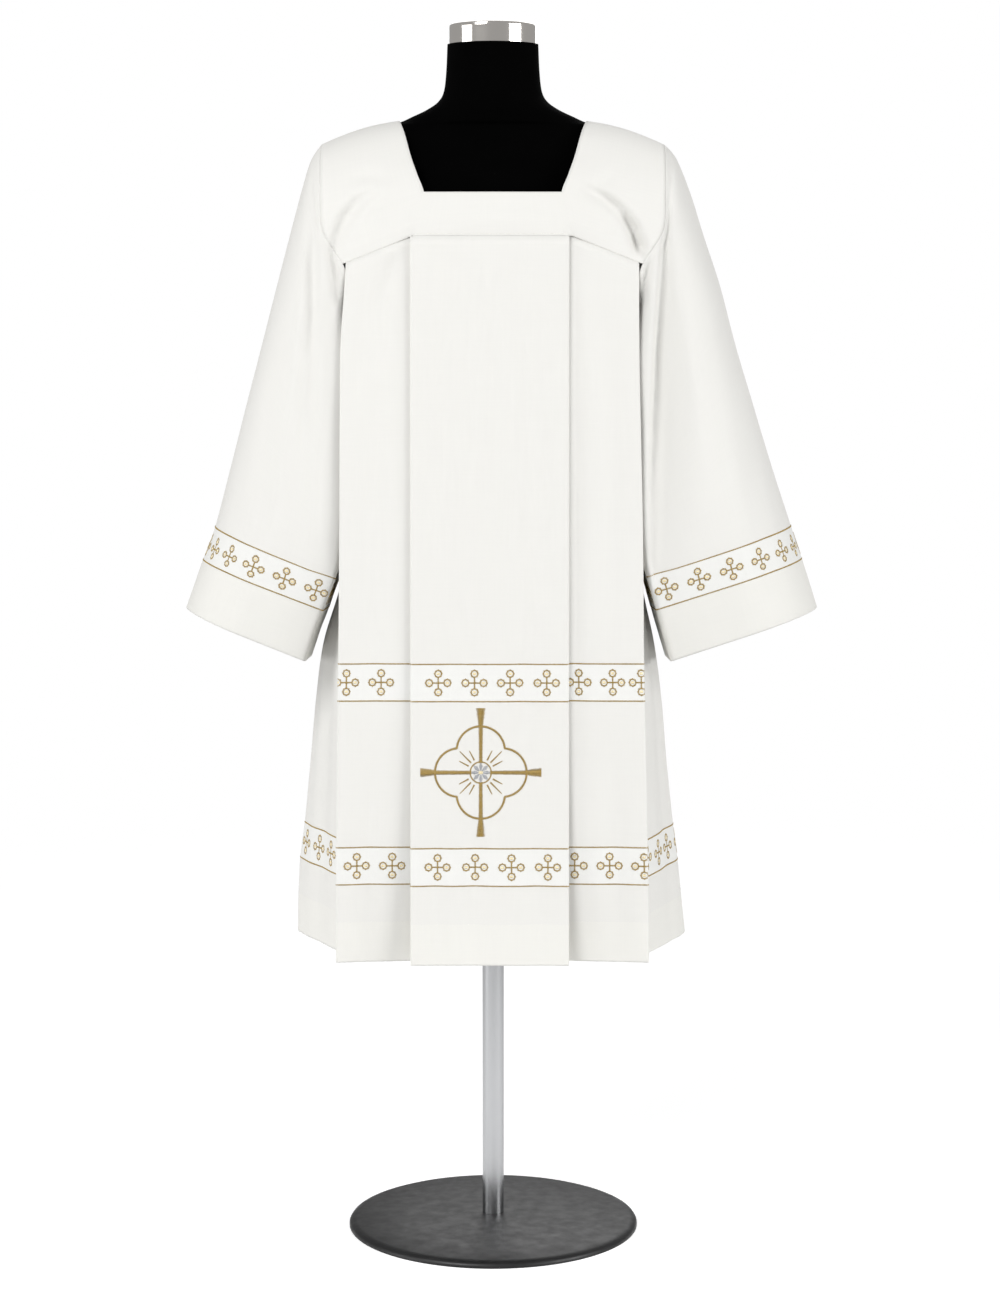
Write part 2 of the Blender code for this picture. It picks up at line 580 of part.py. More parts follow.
def build():
    """Make every piece of the garment, the dress form and the stand."""
    for old in list(bpy.data.objects):
        bpy.data.objects.remove(old, do_unlink=True)
    ivory = material("ivory_cloth", (0.88, 0.87, 0.83), 0.85)
    black = material("black_velvet", (0.008, 0.008, 0.009), 0.9)
    chrome = material("chrome", (0.75, 0.75, 0.76), 0.08, 1.0)
    foot_paint = material("black_foot_paint", (0.012, 0.012, 0.013), 0.45)

    add_cloth("yoke_front", yoke_piece(FRONT_NECK_ROWS, FRONT_NECK_CORNER, 1.0, -1), ivory)
    add_cloth("yoke_back", yoke_piece(BACK_NECK_ROWS, BACK_NECK_CORNER, BACK_DEPTH, 1), ivory)
    add_cloth("front_body", skirt_piece(1.0, -1), ivory)
    add_cloth("back_body", skirt_piece(BACK_DEPTH, 1), ivory)
    add_cloth("gore_left", gore_piece(LEFT_GORE), ivory)
    add_cloth("gore_right", gore_piece(RIGHT_GORE), ivory)
    left_creases = (LEFT_FRONT_CREASES, LEFT_BACK_CREASES)
    right_creases = (RIGHT_FRONT_CREASES, RIGHT_BACK_CREASES)
    add_cloth("sleeve_left", sleeve_piece(LEFT_SLEEVE_ROWS, left_creases, -1), ivory, closed=True)
    add_cloth("sleeve_right", sleeve_piece(RIGHT_SLEEVE_ROWS, right_creases, 1), ivory, closed=True)

    add_turned("form_torso", FORM_ROWS, black)
    add_turned("neck_cap", CAP_ROWS, chrome)
    add_turned("stand_pole", POLE_ROWS, chrome, steps=24)
    add_turned("stand_foot", FOOT_ROWS, foot_paint, steps=48)


build()
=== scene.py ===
"""Looks of a surplice on a limbless dress form.

The garment is a set of thin cloth sheets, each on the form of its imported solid: two yokes in one
with the shoulders, a pleated front and back, two flared side gores and two bell sleeves. Bands and
an emblem are worked on them in thread. It rests on the shoulders of a dress form with a polished
neck cap, which stands on a pole and a round foot.

Frame: metres, +Z up, the front faces -Y, the origin is the centre of the foot's underside.
"""

import logging
import math
from collections.abc import Callable, Iterable, Sequence
from dataclasses import dataclass, field
from enum import Enum
from typing import Any, NamedTuple

import bpy
import numpy as np
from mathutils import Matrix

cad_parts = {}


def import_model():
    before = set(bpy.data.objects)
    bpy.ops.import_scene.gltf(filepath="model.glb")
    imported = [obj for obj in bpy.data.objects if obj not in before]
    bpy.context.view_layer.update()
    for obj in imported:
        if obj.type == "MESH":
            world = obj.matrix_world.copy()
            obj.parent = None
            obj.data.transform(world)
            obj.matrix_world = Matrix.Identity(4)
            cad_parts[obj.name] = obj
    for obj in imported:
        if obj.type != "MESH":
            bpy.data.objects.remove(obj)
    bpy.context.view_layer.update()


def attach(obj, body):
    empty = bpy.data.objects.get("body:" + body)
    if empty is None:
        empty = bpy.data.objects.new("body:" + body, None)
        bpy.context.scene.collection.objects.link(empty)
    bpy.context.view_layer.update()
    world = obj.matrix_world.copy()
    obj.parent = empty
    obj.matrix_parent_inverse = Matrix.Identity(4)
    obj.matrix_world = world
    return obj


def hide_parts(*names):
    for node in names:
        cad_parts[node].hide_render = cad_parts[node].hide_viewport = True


LOG = logging.getLogger("surplice")
ROOT = "root"
MM = 0.001
FULL_TURN = 2 * math.pi


# ---------------------------------------------------------------- sizes shared by the pieces

class BodyRow(NamedTuple):
    """Level line of the skirt; depths are distances in front of the plane through the sides."""

    z: float
    centre: float
    side_in: float
    side_out: float
    left_edge: float
    right_edge: float
    left_gore: float
    right_gore: float


class EdgeRow(NamedTuple):
    """Point of an armhole or a neckline, from the shoulder down to its end."""

    x: float
    depth: float
    z: float


class SleeveRow(NamedTuple):
    """Ring of a sleeve.

    Attributes:
        out_x: place of its outer end, to the side.
        out_z: height of that end.
        in_x: place of its inner end.
        in_z: height of that end.
        depth: half depth.
        armhole: share of the armhole's shape.
        tuck: how far its corners reach in behind the folded edges of front and back.
        bow: how much higher it runs across the front and back than at its ends.
    """

    out_x: float
    out_z: float
    in_x: float
    in_z: float
    depth: float
    armhole: float
    tuck: float
    bow: float


class FormRow(NamedTuple):
    """Level ring of a turned solid."""

    z: float
    half_width: float
    half_depth: float


class Crease(NamedTuple):
    """Soft trough along a path on a sheet, or a ridge where its depth is negative.

    Attributes:
        left: width of its slope towards lower first coordinates.
        right: width of its slope towards higher ones.
        depth: depth along its middle.
        path: places on the sheet, the highest first.
    """

    left: float
    right: float
    depth: float
    path: np.ndarray


def rows_of(kind: type, table: Iterable[Sequence[float]]) -> tuple[Any, ...]:
    """Rows of a table that is given in millimetres, and its shares in thousandths."""
    return tuple(kind(*(value / 1000 for value in values)) for values in table)


def creases_of(table: Iterable[Sequence[float]]) -> tuple[Crease, ...]:
    """Creases from rows of left, right and depth and then the path, in millimetres."""
    return tuple(Crease(left / 1000, right / 1000, depth / 1000, np.reshape(path, (-1, 2)) / 1000)
                 for left, right, depth, *path in table)


BODY_ROWS = rows_of(BodyRow, (
    (394, 208.5, 177, 191, 195, 194, 256, 251),
    (440, 202, 178, 189, 194.6, 193.7, 255.6, 246.5),
    (490, 196.5, 179, 187, 194.3, 193.2, 253.5, 241.5),
    (540, 191.5, 178.5, 185, 194, 192, 247.5, 235),
    (620, 184, 174.5, 178.5, 193, 190.5, 240, 226.5),
    (700, 176.5, 169, 172, 192, 188.5, 232.5, 219.5),
    (775, 169, 162.5, 165, 190.8, 186.8, 221.5, 209),
    (860, 161, 155, 156.5, 190, 186.2, 196, 191),
    (950, 152, 146.5, 148, 189.3, 185, 191, 188),
    (1060, 142, 137, 138, 188.8, 182.5, 188, 185.5),
    (1160, 133.5, 128.7, 129, 187.5, 180.7, 185.2, 184),
    (1291.5, 125.5, 121.1, 118, 181.2, 180.5, 185.3, 185.1),
))
ARMHOLE_ROWS = rows_of(EdgeRow, (
    (215.5, 0, 1408), (215.8, 30, 1405.5), (215.6, 56, 1391), (215, 78, 1365), (214.2, 93, 1337),
    (213, 103, 1308), (207.5, 109.5, 1290), (196.5, 114.5, 1274), (185, 118, 1257),
    (180, 113.8, 1238.5), (179.8, 106, 1218.5), (183.8, 85.5, 1202.5), (185.4, 55, 1190),
    (186.5, 25, 1183.5), (187.2, 0, 1181.5),
))
YOKE_CORNER = 8
FRONT_NECK_ROWS = rows_of(EdgeRow, (
    (121, 0, 1437), (116.5, 30, 1434.5), (110, 58, 1419), (101.5, 84, 1390), (93, 102, 1366.5),
    (85, 113, 1345), (88, 118, 1328), (92, 122.5, 1310), (98, 125.5, 1291.5),
))
BACK_NECK_ROWS = rows_of(EdgeRow, (
    (121, 0, 1437), (117, 30, 1434.5), (113, 58, 1421.5), (110, 76, 1403), (108, 93, 1380),
    (106, 106, 1356), (103, 115, 1333), (100, 122, 1312), (98, 125.5, 1291.5),
))
LEFT_SLEEVE_ROWS = rows_of(SleeveRow, (
    (215.5, 1408, 187.2, 1181.5, 118, 1000, 0, 0),
    (229, 1389, 189.8, 1165, 120, 250, 11, 0),
    (240, 1356, 190.2, 1135, 124, 60, 13.7, 0),
    (254.5, 1304, 190.4, 1095, 128, 40, 13.9, 0),
    (272, 1239, 191, 1050, 131.5, 40, 12.5, 0),
    (293, 1160, 192.4, 1000, 135.5, 20, 12.5, 0.5),
    (314.5, 1080, 193.8, 950, 139.5, 0, 12, 1),
    (335, 1002, 195.8, 905, 142, 0, 11, 2.5),
    (356, 924, 201, 861, 142, 0, 5, 8),
    (372, 882, 212, 820, 138, 0, 0, 9),
    (384, 849, 224, 789, 134, 0, 0, 8.5),
    (394.5, 820, 235, 756, 130, 0, 0, 8),
))
RIGHT_SLEEVE_ROWS = rows_of(SleeveRow, (
    (215.5, 1408, 187.2, 1181.5, 118, 1000, 0, 0),
    (231, 1391, 188.5, 1165, 120, 250, 11.5, 0),
    (249, 1349, 188.2, 1135, 124, 60, 15.7, 0),
    (268, 1291, 188.8, 1095, 128, 40, 16.3, 0),
    (288, 1232, 189.5, 1050, 131.5, 40, 15, 0),
    (309, 1155, 190.2, 1000, 135.5, 20, 14.5, 0.5),
    (333, 1077, 191, 950, 139.5, 0, 13.5, 1),
    (357, 1000, 193, 905, 142, 0, 12.5, 2.5),
    (382, 925, 196.5, 863, 142, 0, 5, 8),
    (396.5, 883, 204, 820.6, 138, 0, 0, 9),
    (407.5, 850, 213, 789, 134, 0, 0, 8.5),
    (417, 820, 223, 756, 130, 0, 0, 8),
))
LEFT_FRONT_CREASES = creases_of((
    (9.5, 8, 12, -221, 1395, -222.2, 1330, -223.2, 1270, -225, 1200, -229, 1150),
    (12, 10, 5, -224, 1190, -229, 1120, -233, 1040),
    (6, 5.5, 8, -199, 1286, -195.5, 1245, -193, 1210),
    (10, 10, -3, -208, 1150, -211, 1050, -214, 920),
    (15, 17, 4, -265, 1160, -278, 1040, -290, 900),
    (16, 16, 3.5, -305, 1060, -320, 960, -340, 840),
))
LEFT_BACK_CREASES = creases_of((
    (9, 9, 12, -225, 1385, -227, 1280, -229, 1140),
    (6.5, 6, 13, -200, 1280, -196, 1230, -192, 1160),
    (12, 12, 8, -230, 1180, -238, 1050, -245, 900),
    (16, 16, 5.5, -272, 1150, -288, 1020, -305, 870),
))
RIGHT_FRONT_CREASES = creases_of((
        (4.6, 42, 20, 220.5, 1398, 215.5, 1340, 212, 1280, 208, 1220, 203.5, 1150, 200, 1050,
     197.5, 960, 199, 880),
    (6, 5.5, 8, 193, 1286, 189.5, 1245, 187, 1210),
    (17, 17, 4, 260, 1210, 272, 1080, 285, 930),
    (17, 17, 3.5, 300, 1100, 325, 980, 355, 840),
))
RIGHT_BACK_CREASES = creases_of((
    (9, 10, 12, 224.5, 1385, 222, 1280, 218, 1150),
    (6.5, 6, 13, 197, 1280, 194, 1230, 190.5, 1160),
    (12, 13, 8, 219, 1200, 229, 1060, 238, 910),
    (17, 17, 5.5, 275, 1170, 293, 1020, 315, 880),
))
YOKE_CREASES = creases_of((
    (8, 6, 11, 118, 1349, 140, 1338, 156, 1325, 170, 1303),
    (6, 7.5, 21, 164, 1315, 174, 1296, 179.5, 1276, 181, 1250),
    (6.5, 8.5, 9.5, -150, 1344, -170, 1333, -186, 1313, -196, 1288, -200, 1260),
    (8, 9, 3, -129, 1342, -146, 1324, -156, 1300),
    (9, 9, 3, 120, 1344, 135, 1356, 152, 1369),
    (10, 10, 3, -125, 1360, -150, 1366, -175, 1362),
))
FRONT_CREASES = creases_of((
    (9, 11, 2.2, -105, 1285, -125, 1255, -150, 1190),
    (8, 9, 2.6, -125, 1260, -138, 1220, -148, 1130),
    (8, 8, 2.2, -156, 1240, -162, 1180, -164, 1090),
    (13, 13, 3, -148, 1100, -150, 900, -146, 700),
    (11, 11, 2.4, -74, 1270, -72, 1050, -76, 850),
    (12, 14, 3.2, -45, 1250, -48, 1000, -52, 720),
    (10, 10, 2.4, -10, 1260, -8, 1120, -12, 960),
    (11, 13, 3, 25, 1250, 27, 1100, 31, 900),
    (11, 11, 2.6, 56, 1230, 60, 1050, 58, 860),
    (13, 12, 2.6, 35, 950, 38, 800, 36, 660),
    (4.6, 15, 4, 98, 1285, 98, 900, 98.5, 620),
    (10, 10, 1.8, 125, 1260, 132, 1200, 136, 1080),
    (12, 12, 2.8, 150, 1180, 148, 1000, 144, 820),
    (17, 17, 3.4, -20, 560, -23, 480, -25, 394),
    (15, 15, 3, 52, 550, 56, 470, 58, 394),
    (13, 13, 2.6, -70, 570, -72, 480, -70, 394),
    (15, 15, 3, 150, 660, 153, 520, 155, 394),
    (16, 16, 3, -150, 640, -154, 520, -157, 394),
))
BACK_CREASES = creases_of((
    (10, 11, 3.8, -110, 1280, -135, 1220, -150, 1150),
    (10, 10, 4, 115, 1285, 140, 1230, 156, 1160),
    (13, 13, 3.2, 60, 1260, 52, 1050, 48, 760),
    (13, 14, 3, -25, 1230, -30, 950, -36, 640),
    (10, 10, 2.4, -68, 1250, -70, 1100, -66, 900),
    (10, 11, 2.6, 15, 1270, 18, 1150, 15, 1000),
    (13, 13, 2.8, 152, 1080, 150, 880, 146, 660),
    (13, 13, 3, -148, 1040, -150, 820, -150, 620),
    (17, 17, 3.4, 20, 590, 24, 500, 26, 394),
    (15, 15, 3, -60, 570, -63, 480, -64, 394),
    (16, 16, 3, 148, 620, 152, 500, 154, 394),
    (15, 15, 3, -150, 600, -152, 500, -156, 394),
))
LEFT_GORE_CREASES = creases_of((
    (20, 20, 4.5, -50, 1020, -62, 700, -74, 394),
    (22, 22, 4, -4, 900, -8, 650, -12, 394),
    (21, 21, 4.6, 40, 1060, 50, 720, 58, 394),
))
RIGHT_GORE_CREASES = creases_of((
    (21, 21, 4.2, -44, 980, -52, 700, -60, 394),
    (20, 20, 3.8, 6, 940, 8, 660, 10, 394),
    (22, 22, 4.6, 50, 1040, 60, 720, 70, 394),
))
FORM_ROWS = rows_of(FormRow, (
    (1533, 57.5, 57.5), (1500, 59, 59), (1475, 62, 62), (1462, 69, 63), (1452, 83, 63),
    (1443, 102, 60.5), (1435.1, 121, 58), (1430.2, 150, 53), (1421, 180, 55), (1411.6, 203, 60),
    (1401, 211, 66), (1380, 212, 78), (1350, 206, 93), (1310, 190, 104), (1270, 175, 109),
    (1220, 166, 111), (1150, 156, 108), (1060, 138, 97), (990, 145, 101), (900, 164, 112),
    (830, 166, 111), (803, 160, 106), (795, 150, 97),
))
CAP_ROWS = rows_of(FormRow, (
    (1559, 30, 30), (1558.8, 48, 48), (1557.6, 53.5, 53.5), (1555.2, 54.9, 54.9), (1550, 55, 55),
    (1533.3, 55, 55),
))


class Side(Enum):
    """Face of the garment, by the sign of its Y."""

    FRONT = -1
    BACK = 1


class Hand(Enum):
    """Side of the garment as seen from the front, by the sign of its X."""

    LEFT = -1
    RIGHT = 1


class Thread(Enum):
    """Threads of the embroidery and the sewing."""

    GOLD = "gold"
    SILVER = "silver"
    CREAM = "cream"
    SEWING = "sewing"


@dataclass(frozen=True)
class Cut:
    """Sizes that the pieces of the garment share.

    Attributes:
        cloth: thickness of the cloth.
        layer: thickness that each layer takes up in a pleat, with its air.
        edge_gap: space that two layers or cut edges keep in the solids.
        seam_line: space left open between two pieces that are sewn together.
        fold_radius: bend of a pressed pleat edge.
        centre_return: how far a centre pleat goes back under its panel.
        side_return: how far a side pleat goes back under its panel.
        centre_left: half width of the centre panel to the left.
        centre_right: half width of the centre panel to the right.
        back_depth: depth of the back, as a share of the front's.
        seam_height: height of the middle stretch of the seam below the yoke.
        seam_flat: half width of that stretch.
        seam_drop: straight fall of the seam from there to the armhole.
        hem_height: height of the hem above the floor.
        hem_turning: depth of the turned hem.
        end_gap: space between the ends of a line of thread and the cut edges.
    """

    cloth: float = 0.0010
    layer: float = 0.0012
    edge_gap: float = 0.0008
    seam_line: float = 0.00004
    fold_radius: float = 0.0015
    centre_return: float = 0.030
    side_return: float = 0.028
    centre_left: float = 0.1015
    centre_right: float = 0.0940
    back_depth: float = 0.95
    seam_height: float = 1.2915
    seam_flat: float = 0.098
    seam_drop: float = 0.0345
    hem_height: float = 0.394
    hem_turning: float = 0.050
    end_gap: float = 0.001

    def depth_share(self, side: Side) -> float:
        """Depth of a face of the garment, as a share of the front's."""
        return 1.0 if side is Side.FRONT else self.back_depth

    def seam_at(self, x: float) -> float:
        """Height of the seam below the yoke at a distance from the middle."""
        corner = ARMHOLE_ROWS[YOKE_CORNER].x
        outside = max(0.0, abs(x) - self.seam_flat) / (corner - self.seam_flat)
        return self.seam_height - self.seam_drop * outside


CUT = Cut()


@dataclass(frozen=True)
class Bands:
    """Heights of the embroidered bands up the cloth, from the hem or the cuff's edge."""

    lower: tuple[float, float] = (0.0975, 0.1439)
    upper: tuple[float, float] = (0.3254, 0.3712)
    cuff: tuple[float, float] = (0.065, 0.110)


BANDS = Bands()


class FlatSize(NamedTuple):
    """Size to which a sheet was cut, in metres and square metres."""

    width: float
    length: float
    area: float


# ---------------------------------------------------------------- curves and creases

def row_at(rows: Sequence[Any], position: float) -> Any:
    """Row of a table at a fractional position, on a smooth curve through its rows.

    Args:
        rows: table of named tuples of numbers.
        position: whole numbers are the rows themselves.

    Returns:
        A row of the same kind.
    """
    last = len(rows) - 1
    first = min(int(position), last - 1)
    step = position - first
    before, start, end, after = (np.array(rows[max(0, min(last, first + offset))])
                                 for offset in (-1, 0, 1, 2))
    slope_in, slope_out, rise = (end - before) / 2, (after - start) / 2, end - start
    curve = 3 * rise - 2 * slope_in - slope_out + step * (slope_in + slope_out - 2 * rise)
    return type(rows[0])(*(start + step * (slope_in + step * curve)))


def positions(rows: Sequence[Any], steps: int) -> np.ndarray:
    """Evenly spaced positions through a table, with so many steps from row to row."""
    return np.linspace(0, len(rows) - 1, (len(rows) - 1) * steps + 1)


def ramp(value: float | np.ndarray, start: float, end: float) -> Any:
    """Smooth step from 0 at start to 1 at end."""
    share = np.clip((value - start) / (end - start), 0.0, 1.0)
    return share * share * (3 - 2 * share)


def relief(creases: Iterable[Crease], a: np.ndarray, b: np.ndarray) -> np.ndarray:
    """Depth of the soft creases at places of a sheet.

    Args:
        creases: troughs and ridges.
        a: first coordinate of each place.
        b: second coordinate of each place.

    Returns:
        How far each place lies back, in metres.
    """
    end_share, end_softness = 0.06, 0.7
    total = np.zeros_like(a)
    for left, right, depth, path in creases:
        runs = np.diff(path, axis=0)
        lengths = np.hypot(runs[:, 0], runs[:, 1])
        started = np.concatenate([[0.0], np.cumsum(lengths)]) / lengths.sum()
        nearest = np.full_like(a, np.inf)
        drawn = np.zeros_like(a)
        for start, run, length, reached in zip(path, runs, lengths, started):
            from_a, from_b = a - start[0], b - start[1]
            along = np.clip((from_a * run[0] + from_b * run[1]) / length ** 2, 0.0, 1.0)
            away = np.hypot(from_a - along * run[0], from_b - along * run[1])
            width = np.where(run[0] * from_b - run[1] * from_a > 0, right, left)
            share = np.clip(reached + along * length / lengths.sum(), 0.0, 1.0)
            fade = np.sin(np.pi * (end_share + (1 - 2 * end_share) * share)) ** end_softness
            closer = away < nearest
            nearest = np.where(closer, away, nearest)
            drawn = np.where(closer, fade * np.exp(-(away / width) ** 2), drawn)
        total += depth * drawn
    return total


def press_yoke_creases(points: np.ndarray, face: float = 0.060, rise: float = 0.022) -> None:
    """Moves the front of a yoke, and the sleeve beside it, back into the creases of the yoke.

    Args:
        points: grid of places, changed in place.
        face: depth in front of the sides from which the creases take hold.
        rise: height above the seam over which they reach their depth.
    """
    x, y, z = (np.nan_to_num(points[:, :, axis]) for axis in range(3))
    hold = ramp(-y, face / 2, face) * ramp(z - np.vectorize(CUT.seam_at)(x), 0.0, rise)
    points[:, :, 1] += hold * relief(YOKE_CREASES, x, z)


# ---------------------------------------------------------------- nodes and finishes

def colour(code: str) -> tuple[float, float, float, float]:
    """Linear colour of an sRGB hex value."""
    parts = [int(code[index:index + 2], 16) / 255 for index in (1, 3, 5)]
    linear = [part / 12.92 if part <= 0.04045 else ((part + 0.055) / 1.055) ** 2.4
              for part in parts]
    return (*linear, 1.0)


def connect(node: bpy.types.Node, inputs: dict[int | str, Any]) -> None:
    """Gives each input of a node its value, or a link where that is an output."""
    for socket, value in inputs.items():
        if isinstance(value, bpy.types.NodeSocket):
            node.id_data.links.new(value, node.inputs[socket])
        else:
            node.inputs[socket].default_value = value


def add_node(tree: bpy.types.NodeTree, kind: str, inputs: dict[int | str, Any] | None = None,
             output: int | str = 0, **settings: Any) -> bpy.types.NodeSocket | None:
    """Adds a node with its settings and links.

    Args:
        tree: tree that gets the node.
        kind: type of the node.
        inputs: for each input, by name or number, its value or the output it is linked to.
        output: name or number of the output that is given back.
        settings: attributes to set on the node.

    Returns:
        The output, or nothing where the node has none.
    """
    node = tree.nodes.new(kind)
    for name, value in settings.items():
        setattr(node, name, value)
    connect(node, inputs or {})
    return node.outputs[output] if node.outputs else None


def mottled(tree: bpy.types.NodeTree, tint: Any, noise: dict[str, Any],
            span: tuple[float, float, float, float]) -> bpy.types.NodeSocket:
    """Output of a colour that noise makes darker and paler.

    Args:
        tree: tree of the material.
        tint: the colour.
        noise: inputs of the noise.
        span: least and greatest noise that count, and the shares of the colour there.

    Returns:
        The output.
    """
    amount = add_node(tree, "ShaderNodeTexNoise", noise)
    share = add_node(tree, "ShaderNodeMapRange", {0: amount, **dict(enumerate(span, 1))})
    return add_node(tree, "ShaderNodeVectorMath", {0: tint, 1: share}, operation="MULTIPLY")


@dataclass(frozen=True)
class Finish:
    """Finish of a piece.

    Attributes:
        name: name of the material.
        tint: its colour.
    """

    name: str
    tint: str

    def make(self) -> bpy.types.Material:
        """Builds the material."""
        made = bpy.data.materials.new(self.name)
        made.use_nodes = True
        tree = made.node_tree
        connect(tree.nodes["Principled BSDF"], self.inputs(tree))
        return made

    def inputs(self, tree: bpy.types.NodeTree) -> dict[str, Any]:
        """Values and outputs for the shader's sockets."""
        return {"Base Color": colour(self.tint)}


@dataclass(frozen=True)
class ClothFinish(Finish):
    """Plain-woven cotton and polyester cloth, matt, with a fine even thread.

    Attributes:
        bands: heights between which the whiter ground of a band lies.
        doubled: height up to which the cloth is turned up and doubled.
        band_tint: colour of the ground of a band.
        doubled_tint: colour of doubled cloth, a little warmer.
        thread: spacing of the weave; the real thread is 0.35 mm and would not show.
        slub: size of a streak of uneven thread, across it and along it.
    """

    tint: str = "#E0DFDB"
    bands: tuple[tuple[float, float], ...] = ()
    doubled: float = 0.0
    band_tint: str = "#E4E4E1"
    doubled_tint: str = "#E2E1DC"
    thread: float = 1.0 * MM
    slub: tuple[float, float] = (2.0 * MM, 62.5 * MM)

    def inputs(self, tree: bpy.types.NodeTree) -> dict[str, Any]:
        """Values and outputs, from the piece's own map of metres across and up."""
        place = add_node(tree, "ShaderNodeUVMap", uv_map="cloth")
        across = add_node(tree, "ShaderNodeSeparateXYZ", {0: place})
        up = across.node.outputs[1]
        tint: Any = add_node(tree, "ShaderNodeRGB")
        tint.default_value = colour(self.tint)
        stretches = [(start, end, self.band_tint) for start, end in self.bands]
        if self.doubled:
            stretches.append((-1.0, self.doubled, self.doubled_tint))
        for start, end, shade in stretches:
            above = add_node(tree, "ShaderNodeMath", {0: up, 1: start}, operation="GREATER_THAN")
            below = add_node(tree, "ShaderNodeMath", {0: up, 1: end}, operation="LESS_THAN")
            inside = add_node(tree, "ShaderNodeMath", {0: above, 1: below}, operation="MULTIPLY")
            tint = add_node(tree, "ShaderNodeMix", {0: inside, 6: tint, 7: colour(shade)}, 2,
                            data_type="RGBA")
        fine, long = 1 / self.slub[0], 1 / self.slub[1]
        for scale in ((fine, long, 1.0), (long, fine, 1.0)):
            stretched = add_node(tree, "ShaderNodeVectorMath", {0: place, 1: scale},
                                 operation="MULTIPLY")
            tint = mottled(tree, tint, {"Vector": stretched, "Scale": 1.0, "Detail": 2.0},
                           (0.3, 0.7, 0.994, 1.004))
        waves = []
        for way in (across, up):
            angle = add_node(tree, "ShaderNodeMath", {0: way, 1: FULL_TURN / self.thread},
                             operation="MULTIPLY")
            waves.append(add_node(tree, "ShaderNodeMath", {0: angle}, operation="SINE"))
        weave = add_node(tree, "ShaderNodeMath", dict(enumerate(waves)), operation="MULTIPLY")
        woven = add_node(tree, "ShaderNodeBump",
                         {"Height": weave, "Distance": 0.12 * MM, "Strength": 0.35})
        return {"Base Color": tint, "Roughness": 0.82, "Specular IOR Level": 0.28,
                "Sheen Weight": 0.12, "Sheen Roughness": 0.5, "Normal": woven}


@dataclass(frozen=True)
class ThreadFinish(Finish):
    """Twisted embroidery thread, whose shade changes a little from stitch to stitch.

    Attributes:
        metallic: share of the foil that wraps it.
        roughness: roughness along its fibres.
    """

    metallic: float
    roughness: float

    def inputs(self, tree: bpy.types.NodeTree) -> dict[str, Any]:
        """Values and outputs for the shader's sockets."""
        spot = add_node(tree, "ShaderNodeTexCoord", output="Object")
        noise = {"Vector": spot, "Scale": 900.0, "Detail": 1.0}
        tint = mottled(tree, colour(self.tint)[:3], noise, (0.25, 0.75, 0.72, 1.18))
        return {"Base Color": tint, "Metallic": self.metallic, "Roughness": self.roughness}


@dataclass(frozen=True)
class VelvetFinish(Finish):
    """Black cotton velvet: a dense short pile, dark, with a faint bloom at its edges."""

    def inputs(self, tree: bpy.types.NodeTree) -> dict[str, Any]:
        """Values and outputs for the shader's sockets."""
        spot = add_node(tree, "ShaderNodeTexCoord", output="Object")
        fibres = add_node(tree, "ShaderNodeTexNoise",
                          {"Vector": spot, "Scale": 1400.0, "Detail": 2.0})
        pile = add_node(tree, "ShaderNodeBump",
                        {"Height": fibres, "Distance": 0.4 * MM, "Strength": 0.5})
        noise = {"Vector": spot, "Scale": 35.0, "Detail": 3.0}
        tint = mottled(tree, colour(self.tint)[:3], noise, (0.3, 0.7, 0.7, 1.4))
        return {"Base Color": tint, "Roughness": 0.95, "Specular IOR Level": 0.03,
                "Sheen Weight": 0.005, "Sheen Roughness": 0.3, "Normal": pile}


@dataclass(frozen=True)
class MetalFinish(Finish):
    """Plated or painted steel, with the fine marks of its polishing.

    Attributes:
        metallic: 1 for bare plating, 0 for paint.
        roughness: roughness at rest, before the marks.
        grain: how much finer the marks are up the piece than round it.
        mark_scale: marks to a metre.
        marked: least and most roughness of the marks, as shares of the roughness at rest.
    """

    metallic: float
    roughness: float
    grain: float
    mark_scale: float = 60.0
    marked: tuple[float, float] = (0.8, 1.3)

    def inputs(self, tree: bpy.types.NodeTree) -> dict[str, Any]:
        """Values and outputs, with the marks in the roughness and the relief."""
        spot = add_node(tree, "ShaderNodeTexCoord", output="Object")
        scale = (self.mark_scale, self.mark_scale, self.mark_scale * self.grain)
        stretched = add_node(tree, "ShaderNodeMapping", {"Vector": spot, "Scale": scale})
        marks = add_node(tree, "ShaderNodeTexNoise",
                         {"Vector": stretched, "Scale": 1.0, "Detail": 4.0})
        rough = add_node(tree, "ShaderNodeMapRange",
                         {0: marks, 1: 0.2, 2: 0.8, 3: self.roughness * self.marked[0],
                          4: self.roughness * self.marked[1]})
        scratched = add_node(tree, "ShaderNodeBump",
                             {"Height": marks, "Distance": 0.05 * MM, "Strength": 0.2})
        return {"Base Color": colour(self.tint), "Metallic": self.metallic, "Roughness": rough,
                "Normal": scratched}


